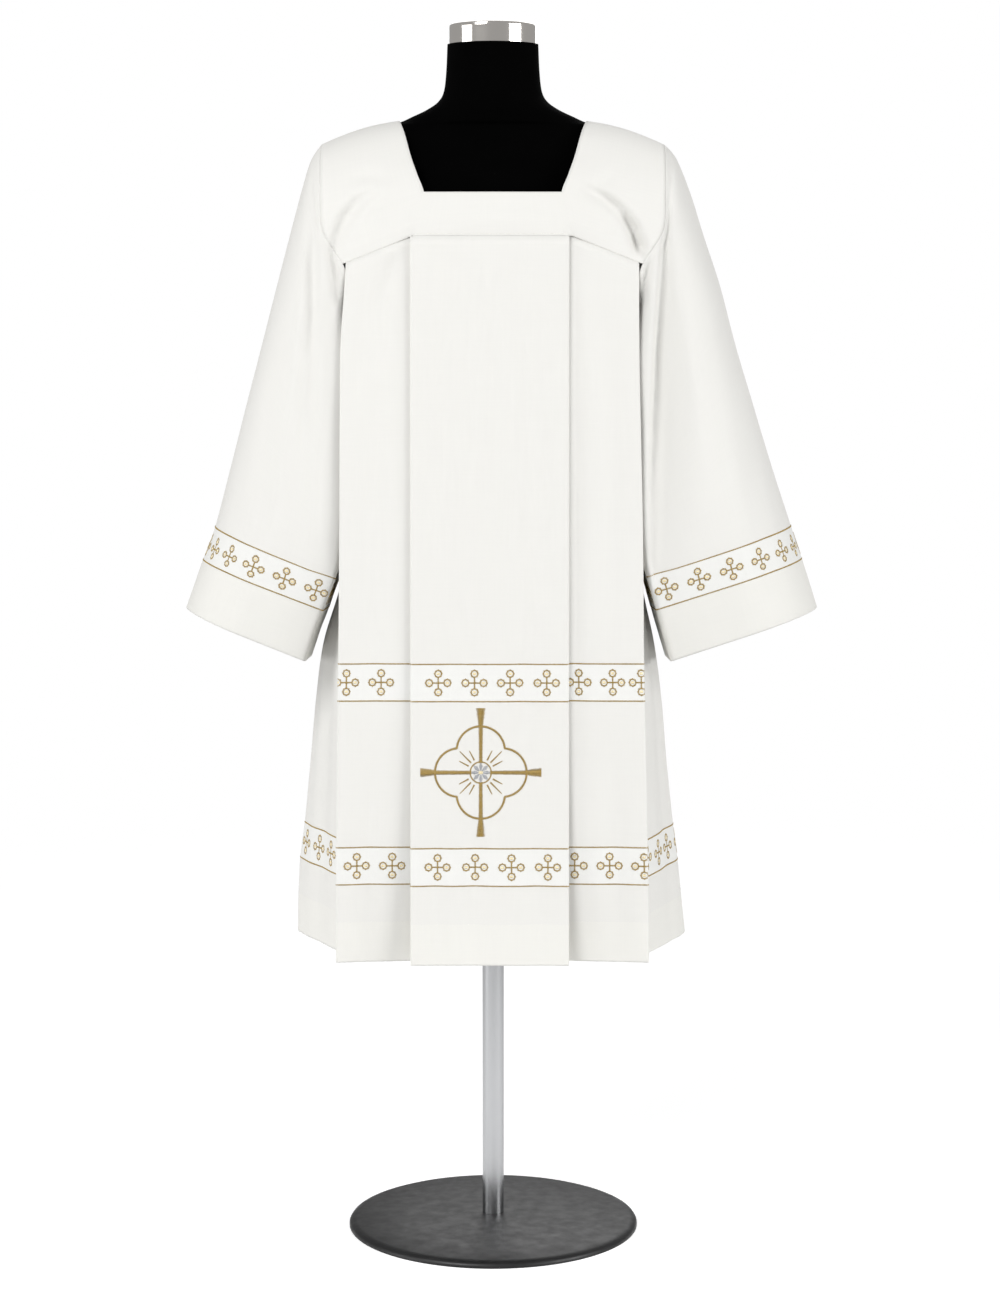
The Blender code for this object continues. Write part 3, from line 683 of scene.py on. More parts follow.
@dataclass(frozen=True)
class FloorFinish(Finish):
    """Matt white floor that fades out towards its edge and is brighter to the eye.

    Attributes:
        fade: distances from the middle between which it fades out.
        glow: strength of its glow as a light, and to the eye.
    """

    fade: tuple[float, float]
    glow: tuple[float, float] = (0.12, 0.42)

    def inputs(self, tree: bpy.types.NodeTree) -> dict[str, Any]:
        """Values and outputs for the shader's sockets."""
        spot = add_node(tree, "ShaderNodeTexCoord", output="Object")
        away = add_node(tree, "ShaderNodeVectorMath", {0: spot}, "Value", operation="LENGTH")
        solid = add_node(tree, "ShaderNodeMapRange",
                         {0: away, 1: self.fade[0], 2: self.fade[1], 3: 1.0, 4: 0.0},
                         interpolation_type="SMOOTHSTEP")
        seen = add_node(tree, "ShaderNodeLightPath", output="Is Camera Ray")
        glow = add_node(tree, "ShaderNodeMapRange",
                        {0: seen, 1: 0.0, 2: 1.0, 3: self.glow[0], 4: self.glow[1]})
        return {"Base Color": colour(self.tint), "Alpha": solid, "Roughness": 0.9,
                "Specular IOR Level": 0.1, "Emission Color": colour("#FFFFFF"),
                "Emission Strength": glow}


THREADS = {
    Thread.GOLD: ThreadFinish("gold_metallic_thread", "#A98F51", 0.25, 0.45),
    Thread.SILVER: ThreadFinish("silver_metallic_thread", "#B4B5B9", 0.45, 0.38),
    Thread.CREAM: ThreadFinish("cream_rayon_thread", "#F6E7BE", 0.0, 0.45),
    Thread.SEWING: ThreadFinish("ivory_cotton_thread", "#EAE8E0", 0.0, 0.7),
}


# ---------------------------------------------------------------- cloth sheets

# Places along a line of a sheet: x, then y or a depth, then a height
Line = list[tuple[float, float, float]]


def finished(name: str, mesh: bpy.types.Mesh, finish: bpy.types.Material) -> bpy.types.Object:
    """New object at the origin with its mesh and its one material."""
    mesh.materials.clear()
    mesh.materials.append(finish)
    mesh.shade_smooth()
    piece = bpy.data.objects.new(name, mesh)
    bpy.context.scene.collection.objects.link(piece)
    return piece


@dataclass
class ClothSheet:
    """Sheet of cloth through a grid of points.

    Attributes:
        node: solid that it stands for.
        points: grid of places, one line for each height, NaN where there is no cloth.
        rise: distance of each line up the cloth from its lower edge, the highest first or last.
        measured_line: line on which distances across are measured.
        closed: whether the last column joins the first.
    """

    node: str
    points: np.ndarray
    rise: np.ndarray
    measured_line: int
    closed: bool = False
    reach: np.ndarray = field(init=False)
    normals: np.ndarray = field(init=False)
    outward: float = field(init=False)

    def __post_init__(self) -> None:
        """Measures the sheet across and works out its outward normals."""
        grid = self.points
        line = grid[self.measured_line]
        if self.closed:
            line = np.vstack([line, line[:1]])
            across = np.roll(grid, -1, axis=1) - np.roll(grid, 1, axis=1)
            centre = grid.mean(axis=1, keepdims=True)
        else:
            across = np.gradient(grid, axis=1)
            centre = grid * (0.0, 0.0, 1.0)
        steps = np.linalg.norm(np.diff(line, axis=0), axis=1)
        self.reach = np.concatenate([[0.0], np.cumsum(steps)])
        normals = np.cross(across, np.gradient(grid, axis=0))
        lengths = np.linalg.norm(normals, axis=2, keepdims=True)
        normals = normals / np.where(lengths > 0, lengths, 1.0)
        self.outward = 1.0 if np.nansum(normals * (grid - centre)) > 0 else -1.0
        self.normals = normals * self.outward

    @property
    def name(self) -> str:
        """Name of the finished piece."""
        return f"cloth_{self.node}"

    @property
    def girth(self) -> float:
        """Whole distance across the measured line."""
        return float(self.reach[-1])

    def spots(self, across: np.ndarray, up: np.ndarray) -> tuple[np.ndarray, np.ndarray]:
        """Places on the sheet and the unit normals there.

        Args:
            across: distances along the measured line.
            up: distances up from the lower edge.

        Returns:
            Points and normals, one row each.
        """
        points, normals = self.points, self.normals
        if self.closed:
            points, normals = (np.concatenate([grid, grid[:, :1]], axis=1)
                               for grid in (points, normals))
            across = np.mod(across, self.girth)
        order = np.argsort(self.rise)
        rows = np.interp(up, self.rise[order], order.astype(float))
        columns = np.interp(across, self.reach, np.arange(len(self.reach)))
        row = np.minimum(np.floor(rows).astype(int), points.shape[0] - 2)
        column = np.minimum(np.floor(columns).astype(int), points.shape[1] - 2)
        down, along = (rows - row)[:, None], (columns - column)[:, None]

        def blend(grid: np.ndarray) -> np.ndarray:
            """Value between the four corners round each place."""
            upper, lower = (grid[line, column] * (1 - along) + grid[line, column + 1] * along
                            for line in (row, row + 1))
            return upper * (1 - down) + lower * down

        normal = blend(normals)
        return blend(points), normal / np.linalg.norm(normal, axis=1, keepdims=True)

    def across_at(self, axis: int, value: float, columns: slice) -> float:
        """Distance across at which the measured line has a coordinate, among some columns."""
        line = self.points[self.measured_line, columns, axis]
        reach = self.reach[:self.points.shape[1]][columns]
        order = np.argsort(line)
        return float(np.interp(value, line[order], reach[order]))

    def make(self, finish: bpy.types.Material) -> bpy.types.Object:
        """Builds the piece: a thin wall with a map of metres across and up."""
        lines, width = self.points.shape[:2]
        there = ~np.isnan(self.points[:, :, 0])
        numbers = np.cumsum(there.ravel()).reshape(there.shape) - 1
        line, column = (part.ravel() for part in np.meshgrid(
            np.arange(lines - 1), np.arange(width if self.closed else width - 1), indexing="ij"))
        after = (column + 1) % width
        corners = [(line, column), (line, after), (line + 1, after), (line + 1, column)]
        whole = np.all([there[corner] for corner in corners], axis=0)
        if self.outward < 0:
            corners.reverse()
        faces = np.stack([numbers[corner] for corner in corners], axis=1)[whole]
        # The closing column of a tube is mapped past the last one, not back at the first
        turns = [np.where(corner[1] < column, self.girth, self.reach[corner[1]])
                 for corner in corners]
        mapped = np.stack([np.stack([turn, self.rise[corner[0]]], axis=1)
                           for turn, corner in zip(turns, corners)], axis=1)[whole]
        mesh = bpy.data.meshes.new(self.name)
        mesh.from_pydata(self.points[there].tolist(), [], faces.tolist())
        mesh.uv_layers.new(name="cloth").data.foreach_set("uv", mapped.ravel())
        piece = finished(self.name, mesh, finish)
        wall = piece.modifiers.new("Cloth thickness", "SOLIDIFY")
        wall.thickness = CUT.cloth
        wall.offset = 0.0
        wall.use_even_offset = wall.use_quality_normals = True
        return piece


def skirt_sheet(node: str, row_steps: int, line_of: Callable[[BodyRow], Line],
                ease: Callable[[np.ndarray], None]) -> ClothSheet:
    """Sheet through the rows of the skirt, from the hem up to a seam.

    Args:
        node: solid that it stands for.
        row_steps: steps from one row of the table to the next.
        line_of: gives the line of a row as (x, y, height of the seam above it).
        ease: moves the grid of points for the soft creases.

    Returns:
        The sheet.
    """
    lines, rise = [], []
    last = len(BODY_ROWS) - 1
    below = BODY_ROWS[last - 1].z
    for position in positions(BODY_ROWS, row_steps):
        row = row_at(BODY_ROWS, position)
        share = position - last + 1
        # The lines above the last row but one spread out up to the slanting seam
        lines.append([(x, y, row.z if share <= 0 else below + (top - below) * share)
                      for x, y, top in line_of(row)])
        rise.append(row.z - CUT.hem_height)
    points = np.array(lines)
    ease(points)
    return ClothSheet(node, points, np.array(rise), int(np.searchsorted(rise, BANDS.lower[0])))


@dataclass
class Skirt:
    """Pleated front or back: a wide centre panel over two side panels, folded back outside.

    Attributes:
        side: face of the garment.
        creases: soft creases, by x and height.
        panel_share: share of the centre panel's half width that its straight stretch takes up.
        panel_steps: steps across half the centre panel.
        side_steps: steps across a side panel.
        return_steps: steps along a side return.
        pleat_steps: steps from one bend of a pleat to the other.
        arc_steps: steps round a pleat edge.
        row_steps: steps from one row of the table to the next.
    """

    side: Side
    creases: tuple[Crease, ...]
    panel_share: float = 0.985
    panel_steps: int = 24
    side_steps: int = 20
    return_steps: int = 5
    pleat_steps: int = 5
    arc_steps: int = 5
    row_steps: int = 11

    def _arc(self, x: float, depth: float, radius: float, start: float,
             end: float) -> list[tuple[float, float]]:
        """Points round a circle in plan."""
        return [(x + radius * math.cos(angle), depth + radius * math.sin(angle))
                for angle in np.linspace(start, end, self.arc_steps + 1)]

    def _pleat(self, edge: float, top: float, bottom: float) -> list[tuple[float, float]]:
        """Box pleat edge: over the fold, back under the panel and out on the lower panel."""
        radius = min(CUT.fold_radius, (top - bottom) / 4)
        across = CUT.centre_return - 2 * radius
        apart = top - bottom - 2 * radius
        slant = math.acos(2 * radius / math.hypot(across, apart)) - math.atan2(across, apart)
        quarter = math.pi / 2
        outer = self._arc(edge - radius, top - radius, radius, quarter, slant - quarter)
        inner = self._arc(edge - CUT.centre_return + radius, bottom + radius, radius,
                          quarter + slant, 3 * quarter)
        between = np.linspace(outer[-1], inner[0], self.pleat_steps + 1)[1:-1]
        return outer + [tuple(point) for point in between] + inner

    def half_plan(self, row: BodyRow, edge: float, side_edge: float) -> list[tuple[float, float]]:
        """Plan from the middle to the end of the side return, as (x, depth)."""
        centre, side_in, side_out = (depth * CUT.depth_share(self.side)
                                     for depth in (row.centre, row.side_in, row.side_out))
        radius = CUT.fold_radius
        points = [(edge * self.panel_share * step / self.panel_steps, centre)
                  for step in range(self.panel_steps)]
        points += self._pleat(edge, centre, side_in)
        hidden = points[-1]
        points += [(hidden[0] + (side_edge - radius - hidden[0]) * share,
                    hidden[1] + (side_out - hidden[1]) * share)
                   for share in np.linspace(0, 1, self.side_steps + 1)[1:-1]]
        points += self._arc(side_edge - radius, side_out - radius, radius, math.pi / 2,
                            -math.pi / 2)
        slope = (side_out - side_in) / (side_edge - edge + CUT.centre_return)
        reach = CUT.side_return - radius
        return points + [(side_edge - radius - reach * share,
                          side_out - 2 * radius - reach * share * slope)
                         for share in np.linspace(0, 1, self.return_steps + 1)[1:]]

    def _line(self, row: BodyRow) -> Line:
        """Line of the sheet, from left to right."""
        left = self.half_plan(row, CUT.centre_left, row.left_edge)
        right = self.half_plan(row, CUT.centre_right, row.right_edge)
        return [(x, self.side.value * depth, CUT.seam_at(x) - CUT.seam_line)
                for x, depth in [(-x, depth) for x, depth in reversed(left[1:])] + right]

    def _ease(self, points: np.ndarray) -> None:
        """Presses the soft creases back into the sheet."""
        points[:, :, 1] -= self.side.value * relief(self.creases, points[:, :, 0],
                                                    points[:, :, 2])

    def sheet(self) -> ClothSheet:
        """Works out the sheet, from the hem up."""
        return skirt_sheet(f"{self.side.name.lower()}_body", self.row_steps, self._line,
                           self._ease)

    def panel_columns(self) -> tuple[slice, slice, slice]:
        """Columns of the left side panel, the centre panel and the right side panel."""
        middle = len(self.half_plan(BODY_ROWS[0], CUT.centre_right, BODY_ROWS[0].right_edge)) - 1
        tail = self.return_steps + self.arc_steps
        side_in = self.panel_steps + 2 * (self.arc_steps + 1) + self.pleat_steps - 2
        return (slice(tail, middle - side_in),
                slice(middle - self.panel_steps, middle + self.panel_steps + 1),
                slice(middle + side_in + 1, 2 * middle + 1 - tail))


@dataclass
class Gore:
    """Flared side piece that runs behind the folded edges of the front and the back.

    Attributes:
        hand: side of the garment.
        rounding: rounding where it turns round the side.
        dip: how far it dips behind the folded edge, as a share of its flare.
        creases: soft creases, by y and height.
        crease_face: distances to the front and back between which the creases fade out.
        overlap: how far it reaches past the end of the side return.
        lap: straight end that lies along the return.
        bend: how far before that end it has turned in.
        clear: how far behind the folded edge it starts to turn in.
        side_steps: points from the side to that turn.
        end_steps: steps round the turn.
        row_steps: steps from one row of the table to the next.
    """

    hand: Hand
    rounding: float
    dip: float
    creases: tuple[Crease, ...]
    crease_face: tuple[float, float] = (0.10, 0.14)
    overlap: float = 0.006
    lap: float = 0.010
    bend: float = 0.008
    clear: float = 0.032
    side_steps: int = 26
    end_steps: int = 9
    row_steps: int = 10

    @staticmethod
    def _armhole_height(depth: float) -> float:
        """Height of the lower armhole edge at a depth in front of the side."""
        lower = ARMHOLE_ROWS[:YOKE_CORNER - 1:-1]
        return float(np.interp(depth, [row.depth for row in lower], [row.z for row in lower]))

    def _half_plan(self, row: BodyRow, scale: float) -> list[tuple[float, float]]:
        """Plan from the side to the edge behind the side return, as (x, depth)."""
        gore_x, side_edge, edge = (
            (row.left_gore, row.left_edge, CUT.centre_left) if self.hand is Hand.LEFT
            else (row.right_gore, row.right_edge, CUT.centre_right))
        side_out = row.side_out * scale
        slope_in = (row.side_out - row.side_in) * scale / (side_edge - edge + CUT.centre_return)
        end_x = side_edge - CUT.side_return - self.overlap
        lap = (side_out - 2 * CUT.fold_radius - CUT.layer - CUT.edge_gap
               - (side_edge - end_x) * slope_in)
        flat_x, flat_depth = end_x + self.lap, lap + self.lap * slope_in
        reach = side_out - self.clear
        slope = (gore_x - side_edge) * (1 + self.dip) / reach
        points = [(gore_x - slope * (math.hypot(depth, self.rounding) - self.rounding), depth)
                  for depth in np.linspace(0, reach, self.side_steps)]
        start_x = points[-1][0]
        bend_x = min(start_x, flat_x + self.bend)
        for share in np.linspace(0, 1, self.end_steps + 1)[1:]:
            rest = 1 - share
            points.append((start_x * rest ** 2 + bend_x * 2 * share * rest + flat_x * share ** 2,
                           reach * rest ** 2 + flat_depth * (1 - rest ** 2)))
        return points + [(end_x, lap)]

    def _line(self, row: BodyRow) -> Line:
        """Line of the sheet, from its front edge to its back edge."""
        line = []
        for side in Side:
            scale = CUT.depth_share(side)
            half = self._half_plan(row, scale)
            line += [(self.hand.value * x, side.value * depth,
                      self._armhole_height(depth / scale))
                     for x, depth in (half[::-1] if side is Side.FRONT else half[1:])]
        return line

    def _ease(self, points: np.ndarray) -> None:
        """Presses the soft creases into the sheet, clear of the front and the back."""
        drawn = relief(self.creases, points[:, :, 1], points[:, :, 2])
        points[:, :, 0] -= self.hand.value * drawn * (
            1 - ramp(np.abs(points[:, :, 1]), *self.crease_face))

    def sheet(self) -> ClothSheet:
        """Works out the sheet, from the hem up."""
        return skirt_sheet(f"gore_{self.hand.name.lower()}", self.row_steps, self._line,
                           self._ease)


@dataclass
class Yoke:
    """Yoke in one with half of both shoulders and a square neckline.

    Attributes:
        side: face of the garment.
        neck_rows: inner edge of the shoulder.
        neck_corner: row where the neckline turns across.
        neck_bow: how far the band stands forward in its middle.
        shoulder_bow: rise of the shoulder line above a straight line.
        neck_front: depth to which that rise fades.
        setback: yoke edge to the middle of the sleeve cloth.
        pleat_step: how far the seamed edge steps back beside the centre panel.
        step_width: width of that step, behind the edge of the centre panel.
        neck_steps: steps across between the two shoulders.
        strap_steps: steps across a shoulder.
        row_steps: steps from one row of the table to the next.
    """

    side: Side
    neck_rows: tuple[EdgeRow, ...]
    neck_corner: int
    neck_bow: float = 0.003
    shoulder_bow: float = 0.0048
    neck_front: float = 0.1130
    setback: float = 0.0002
    pleat_step: float = 0.0053
    step_width: float = 0.0030
    neck_steps: int = 36
    strap_steps: int = 24
    row_steps: int = 10

    def _line(self, position: float) -> Line:
        """Line of the sheet as (x, depth, z), from left to right, open across the neckline."""
        last = len(self.neck_rows) - 1
        neck, arm = row_at(self.neck_rows, position), row_at(ARMHOLE_ROWS, position)
        seamward = max(0.0, position - last + 1)
        straps: tuple[list, list] = ([], [])
        for share in np.linspace(0, 1, self.strap_steps + 1):
            x = neck.x + (arm.x - self.setback - neck.x) * share
            depth = neck.depth + (arm.depth - neck.depth) * share
            crown = (self.shoulder_bow * 4 * share * (1 - share)
                     * max(0.0, 1 - neck.depth / self.neck_front))
            height = neck.z + (arm.z - neck.z) * share + crown
            height += (CUT.seam_at(x) - height) * seamward
            for strap, edge in zip(straps, (CUT.centre_left, CUT.centre_right)):
                stepped = seamward * (1 - share) * ramp(x, edge - self.step_width, edge)
                strap.append((x, depth - self.pleat_step * stepped, height))
        middle = [(math.nan,) * 3] * (self.neck_steps - 1)
        if position >= self.neck_corner - 1e-6:
            bowed = self.neck_bow * (1 - ramp(position, last - 1, last))
            middle = [(across * neck.x, neck.depth + bowed * (1 - across * across), neck.z)
                      for across in np.linspace(-1, 1, self.neck_steps + 1)[1:-1]]
        return [(-x, depth, height) for x, depth, height in straps[0][::-1]] + middle + straps[1]

    def sheet(self) -> ClothSheet:
        """Works out the sheet, from the shoulder seam down."""
        steps = positions(self.neck_rows, self.row_steps)
        points = np.array([self._line(position) for position in steps])
        points[:, :, 1] *= self.side.value * CUT.depth_share(self.side)
        points[0, :, 1] += self.side.value * CUT.seam_line / 2
        press_yoke_creases(points)
        rise = np.array([row_at(self.neck_rows, position).z for position in steps])
        return ClothSheet(f"yoke_{self.side.name.lower()}", points, rise - CUT.seam_height,
                          len(steps) - 1)


@dataclass
class Sleeve:
    """Wide bell sleeve, from the armhole to the cuff.

    Attributes:
        hand: side of the garment.
        rows: rings of the sleeve.
        creases: soft creases of its front and of its back, by x and height.
        crease_face: depth from which they take hold.
        crease_rows: rows over which they take hold below the armhole.
        tuck_full: reach behind a folded edge from which no crease is left in the corner.
        tuck_share: shares of the depth between which the cloth tucks in behind that edge.
        tuck_along: places along the inner half between which it tucks in, 1 at the end.
        corner_along: places along the inner half between which the creases end.
        scoop_rows: rows over which the bend of the armhole's edge fades.
        band_rows: rows of the upper and the lower line of the band.
        outside: roundness of the outer half of a ring, 2 for an ellipse.
        inside: roundness of the inner half, squarer where it stands by the body.
        cuff_inside: the same at the cuff, where the cloth folds sharply.
        cuff_rows: rows between which the one goes over into the other.
        half_ring: steps round half a ring.
        row_steps: steps from one row of the table to the next.
    """

    hand: Hand
    rows: tuple[SleeveRow, ...]
    creases: tuple[tuple[Crease, ...], tuple[Crease, ...]]
    crease_face: float = 0.060
    crease_rows: float = 0.8
    tuck_full: float = 0.008
    tuck_share: tuple[float, float] = (0.80, 0.93)
    tuck_along: tuple[float, float] = (0.62, 0.93)
    corner_along: tuple[float, float] = (0.88, 0.97)
    scoop_rows: float = 2.5
    band_rows: tuple[int, int] = (8, 9)
    outside: float = 2.0
    inside: float = 14.0
    cuff_inside: float = 44.0
    cuff_rows: tuple[float, float] = (7.0, 8.5)
    half_ring: int = 64
    row_steps: int = 8

    def _shape(self) -> np.ndarray:
        """Armhole round half a ring: place along the ring's line, offset, share of depth."""
        top, bottom = ARMHOLE_ROWS[0], ARMHOLE_ROWS[-1]
        middle = np.array([(top.x + bottom.x) / 2, (top.z + bottom.z) / 2])
        half = np.array([top.x - bottom.x, top.z - bottom.z]) / 2
        length = float(np.linalg.norm(half))
        along = half / length
        off = np.array([along[1], -along[0]])
        deepest = max(row.depth for row in ARMHOLE_ROWS)
        shape = []
        for step in range(self.half_ring + 1):
            point = row_at(ARMHOLE_ROWS, (len(ARMHOLE_ROWS) - 1) * step / self.half_ring)
            away = np.array([point.x, point.z]) - middle
            shape.append((away @ along / length, away @ off, point.depth / deepest))
        return np.array(shape)

    def _ring(self, position: float, shape: np.ndarray) -> np.ndarray:
        """Points round one ring, from the outer line over the front and back again."""
        row = row_at(self.rows, position)
        outer, inner = np.array([row.out_x, row.out_z]), np.array([row.in_x, row.in_z])
        half = (outer - inner) / 2
        off = np.array([half[1], -half[0]]) / np.linalg.norm(half)
        scoop = max(0.0, 1 - position / self.scoop_rows)
        lengthways, offset, depth = shape.T
        inside = self.inside + (self.cuff_inside - self.inside) * ramp(position, *self.cuff_rows)
        full = np.where(lengthways < 0, inside, self.outside)
        rounded = np.maximum(0.0, 1 - np.abs(lengthways) ** full) ** (1 / full)
        share = row.armhole * depth + (1 - row.armhole) * rounded
        x, z = ((outer + inner) / 2 + np.outer(lengthways, half) + scoop * np.outer(offset, off)).T
        tucked = row.tuck * ramp(-lengthways, *self.tuck_along) * ramp(share, *self.tuck_share)
        x = self.hand.value * (x - tucked)
        z = z + row.bow * share
        corner = ramp(-lengthways, *self.corner_along) * min(1.0, row.tuck / self.tuck_full)
        creased = ramp(position, 0.0, self.crease_rows) * (1 - corner)
        halves = []
        for side, creases in zip(Side, self.creases):
            out = CUT.depth_share(side) * row.depth * share
            hold = creased * ramp(out, self.crease_face / 3, self.crease_face)
            out = out - hold * relief(creases, x, z)
            halves.append(np.stack([x, side.value * out, z], axis=1))
        return np.concatenate([halves[0], halves[1][-2:0:-1]])

    def sheet(self) -> ClothSheet:
        """Works out the sheet, a tube from the armhole down to the cuff's edge."""
        shape = self._shape()
        steps = positions(self.rows, self.row_steps)
        points = np.array([self._ring(position, shape) for position in steps])
        press_yoke_creases(points)
        lengths = np.linalg.norm(np.diff(points[:, 0], axis=0), axis=1)
        upper, lower = (row * self.row_steps for row in self.band_rows)
        # Distances up the cloth put the band's two lines exactly on their rows
        rise = np.interp(np.arange(len(steps)), [0, upper, lower, len(steps) - 1],
                         [lengths[:upper].sum() + BANDS.cuff[1], *BANDS.cuff[::-1], 0.0])
        return ClothSheet(f"sleeve_{self.hand.name.lower()}", points, rise,
                          (upper + lower) // 2, closed=True)


# ---------------------------------------------------------------- stitches

class Stitches(NamedTuple):
    """Stitches drawn flat, in metres: where each starts and ends, and how wide its thread lies."""

    starts: np.ndarray
    ends: np.ndarray
    width: float

    def moved(self, across: float, up: float, turn: float = 0.0) -> "Stitches":
        """The same stitches, turned by an angle in radians and then moved."""
        spin = np.array([[math.cos(turn), math.sin(turn)], [-math.sin(turn), math.cos(turn)]])
        shift = np.array([across, up])
        return Stitches(self.starts @ spin + shift, self.ends @ spin + shift, self.width)


# Stitches round the middle of the flat, each lot with its thread
Drawing = list[tuple[Thread, Stitches]]


@dataclass(frozen=True)
class Needle:
    """Way of stitching with one thread.

    Attributes:
        thread: which thread.
        pitch: distance from one stitch to the next.
        width: how wide the thread of a stitch lies.
    """

    thread: Thread
    pitch: float
    width: float

    def _walk(self, path: Any) -> tuple[np.ndarray, np.ndarray]:
        """Points one pitch apart along a path, and the directions there."""
        path = np.array(path, float)
        steps = np.linalg.norm(np.diff(path, axis=0), axis=1)
        along = np.concatenate([[0.0], np.cumsum(steps)])
        count = max(2, int(round(along[-1] / self.pitch)) + 1)
        marks = np.linspace(0, along[-1], count)
        points = np.stack([np.interp(marks, along, path[:, axis]) for axis in (0, 1)], axis=1)
        ways = np.gradient(points, axis=0)
        return points, ways / np.linalg.norm(ways, axis=1, keepdims=True)

    def satin(self, path: Any, start_width: float, end_width: float | None = None) -> Stitches:
        """Stitches laid across a path, close together.

        Args:
            path: points in the flat.
            start_width: length of the stitches at the start of the path.
            end_width: their length at its end, if it differs.

        Returns:
            The stitches.
        """
        points, ways = self._walk(path)
        ends = start_width if end_width is None else end_width
        half = np.linspace(start_width, ends, len(points))[:, None] / 2
        aside = np.stack([-ways[:, 1], ways[:, 0]], axis=1) * half
        return Stitches(points - aside, points + aside, self.width)

    def running(self, path: Any, share: float) -> Stitches:
        """Stitches laid along a path, each covering a share of the pitch."""
        points, ways = self._walk(path)
        half = ways * self.pitch * share / 2
        return Stitches(points - half, points + half, self.width)


def ring_path(across: float, up: float, radius: float, start: float = 0.0,
              end: float = FULL_TURN, steps: int = 28) -> np.ndarray:
    """Points round a circle in the flat."""
    angles = np.linspace(start, end, steps + 1)
    return np.stack([across + radius * np.cos(angles), up + radius * np.sin(angles)], axis=1)


@dataclass(frozen=True)
class Embroidery:
    """Stitches of one sheet, collected by thread and laid on it together.

    Attributes:
        sheet: cloth that carries the stitches.
        laid: stitches, with their places on the sheet worked out.
        lift: how far their middle lies above the middle of the cloth.
        bulge: how much longer than its run a stitch is, in widths of its thread.
        height: height of a stitch, in the same.
    """

    sheet: ClothSheet
    laid: dict[Thread, list[tuple[np.ndarray, ...]]] = field(default_factory=dict)
    lift: float = 0.00062
    bulge: float = 0.6
    height: float = 0.75

    def add(self, thread: Thread, stitches: Stitches) -> None:
        """Lays stitches on the sheet."""
        starts, normals = self.sheet.spots(*stitches.starts.T)
        ends, _ = self.sheet.spots(*stitches.ends.T)
        run = ends - starts
        length = np.linalg.norm(run, axis=1, keepdims=True)
        size = np.concatenate([length + stitches.width * self.bulge,
                               np.full_like(length, stitches.width),
                               np.full_like(length, stitches.width * self.height)], axis=1)
        middle = (starts + ends) / 2 + normals * self.lift
        self.laid.setdefault(thread, []).append((middle, run / length, normals, size))

    def make(self, materials: dict[Thread, bpy.types.Material]) -> list[bpy.types.Object]:
        """Builds one piece for each thread."""
        return [StitchTree().grow(f"{self.sheet.name}_stitches_{thread.value}",
                                  [np.concatenate(parts) for parts in zip(*groups)],
                                  materials[thread])
                for thread, groups in self.laid.items()]


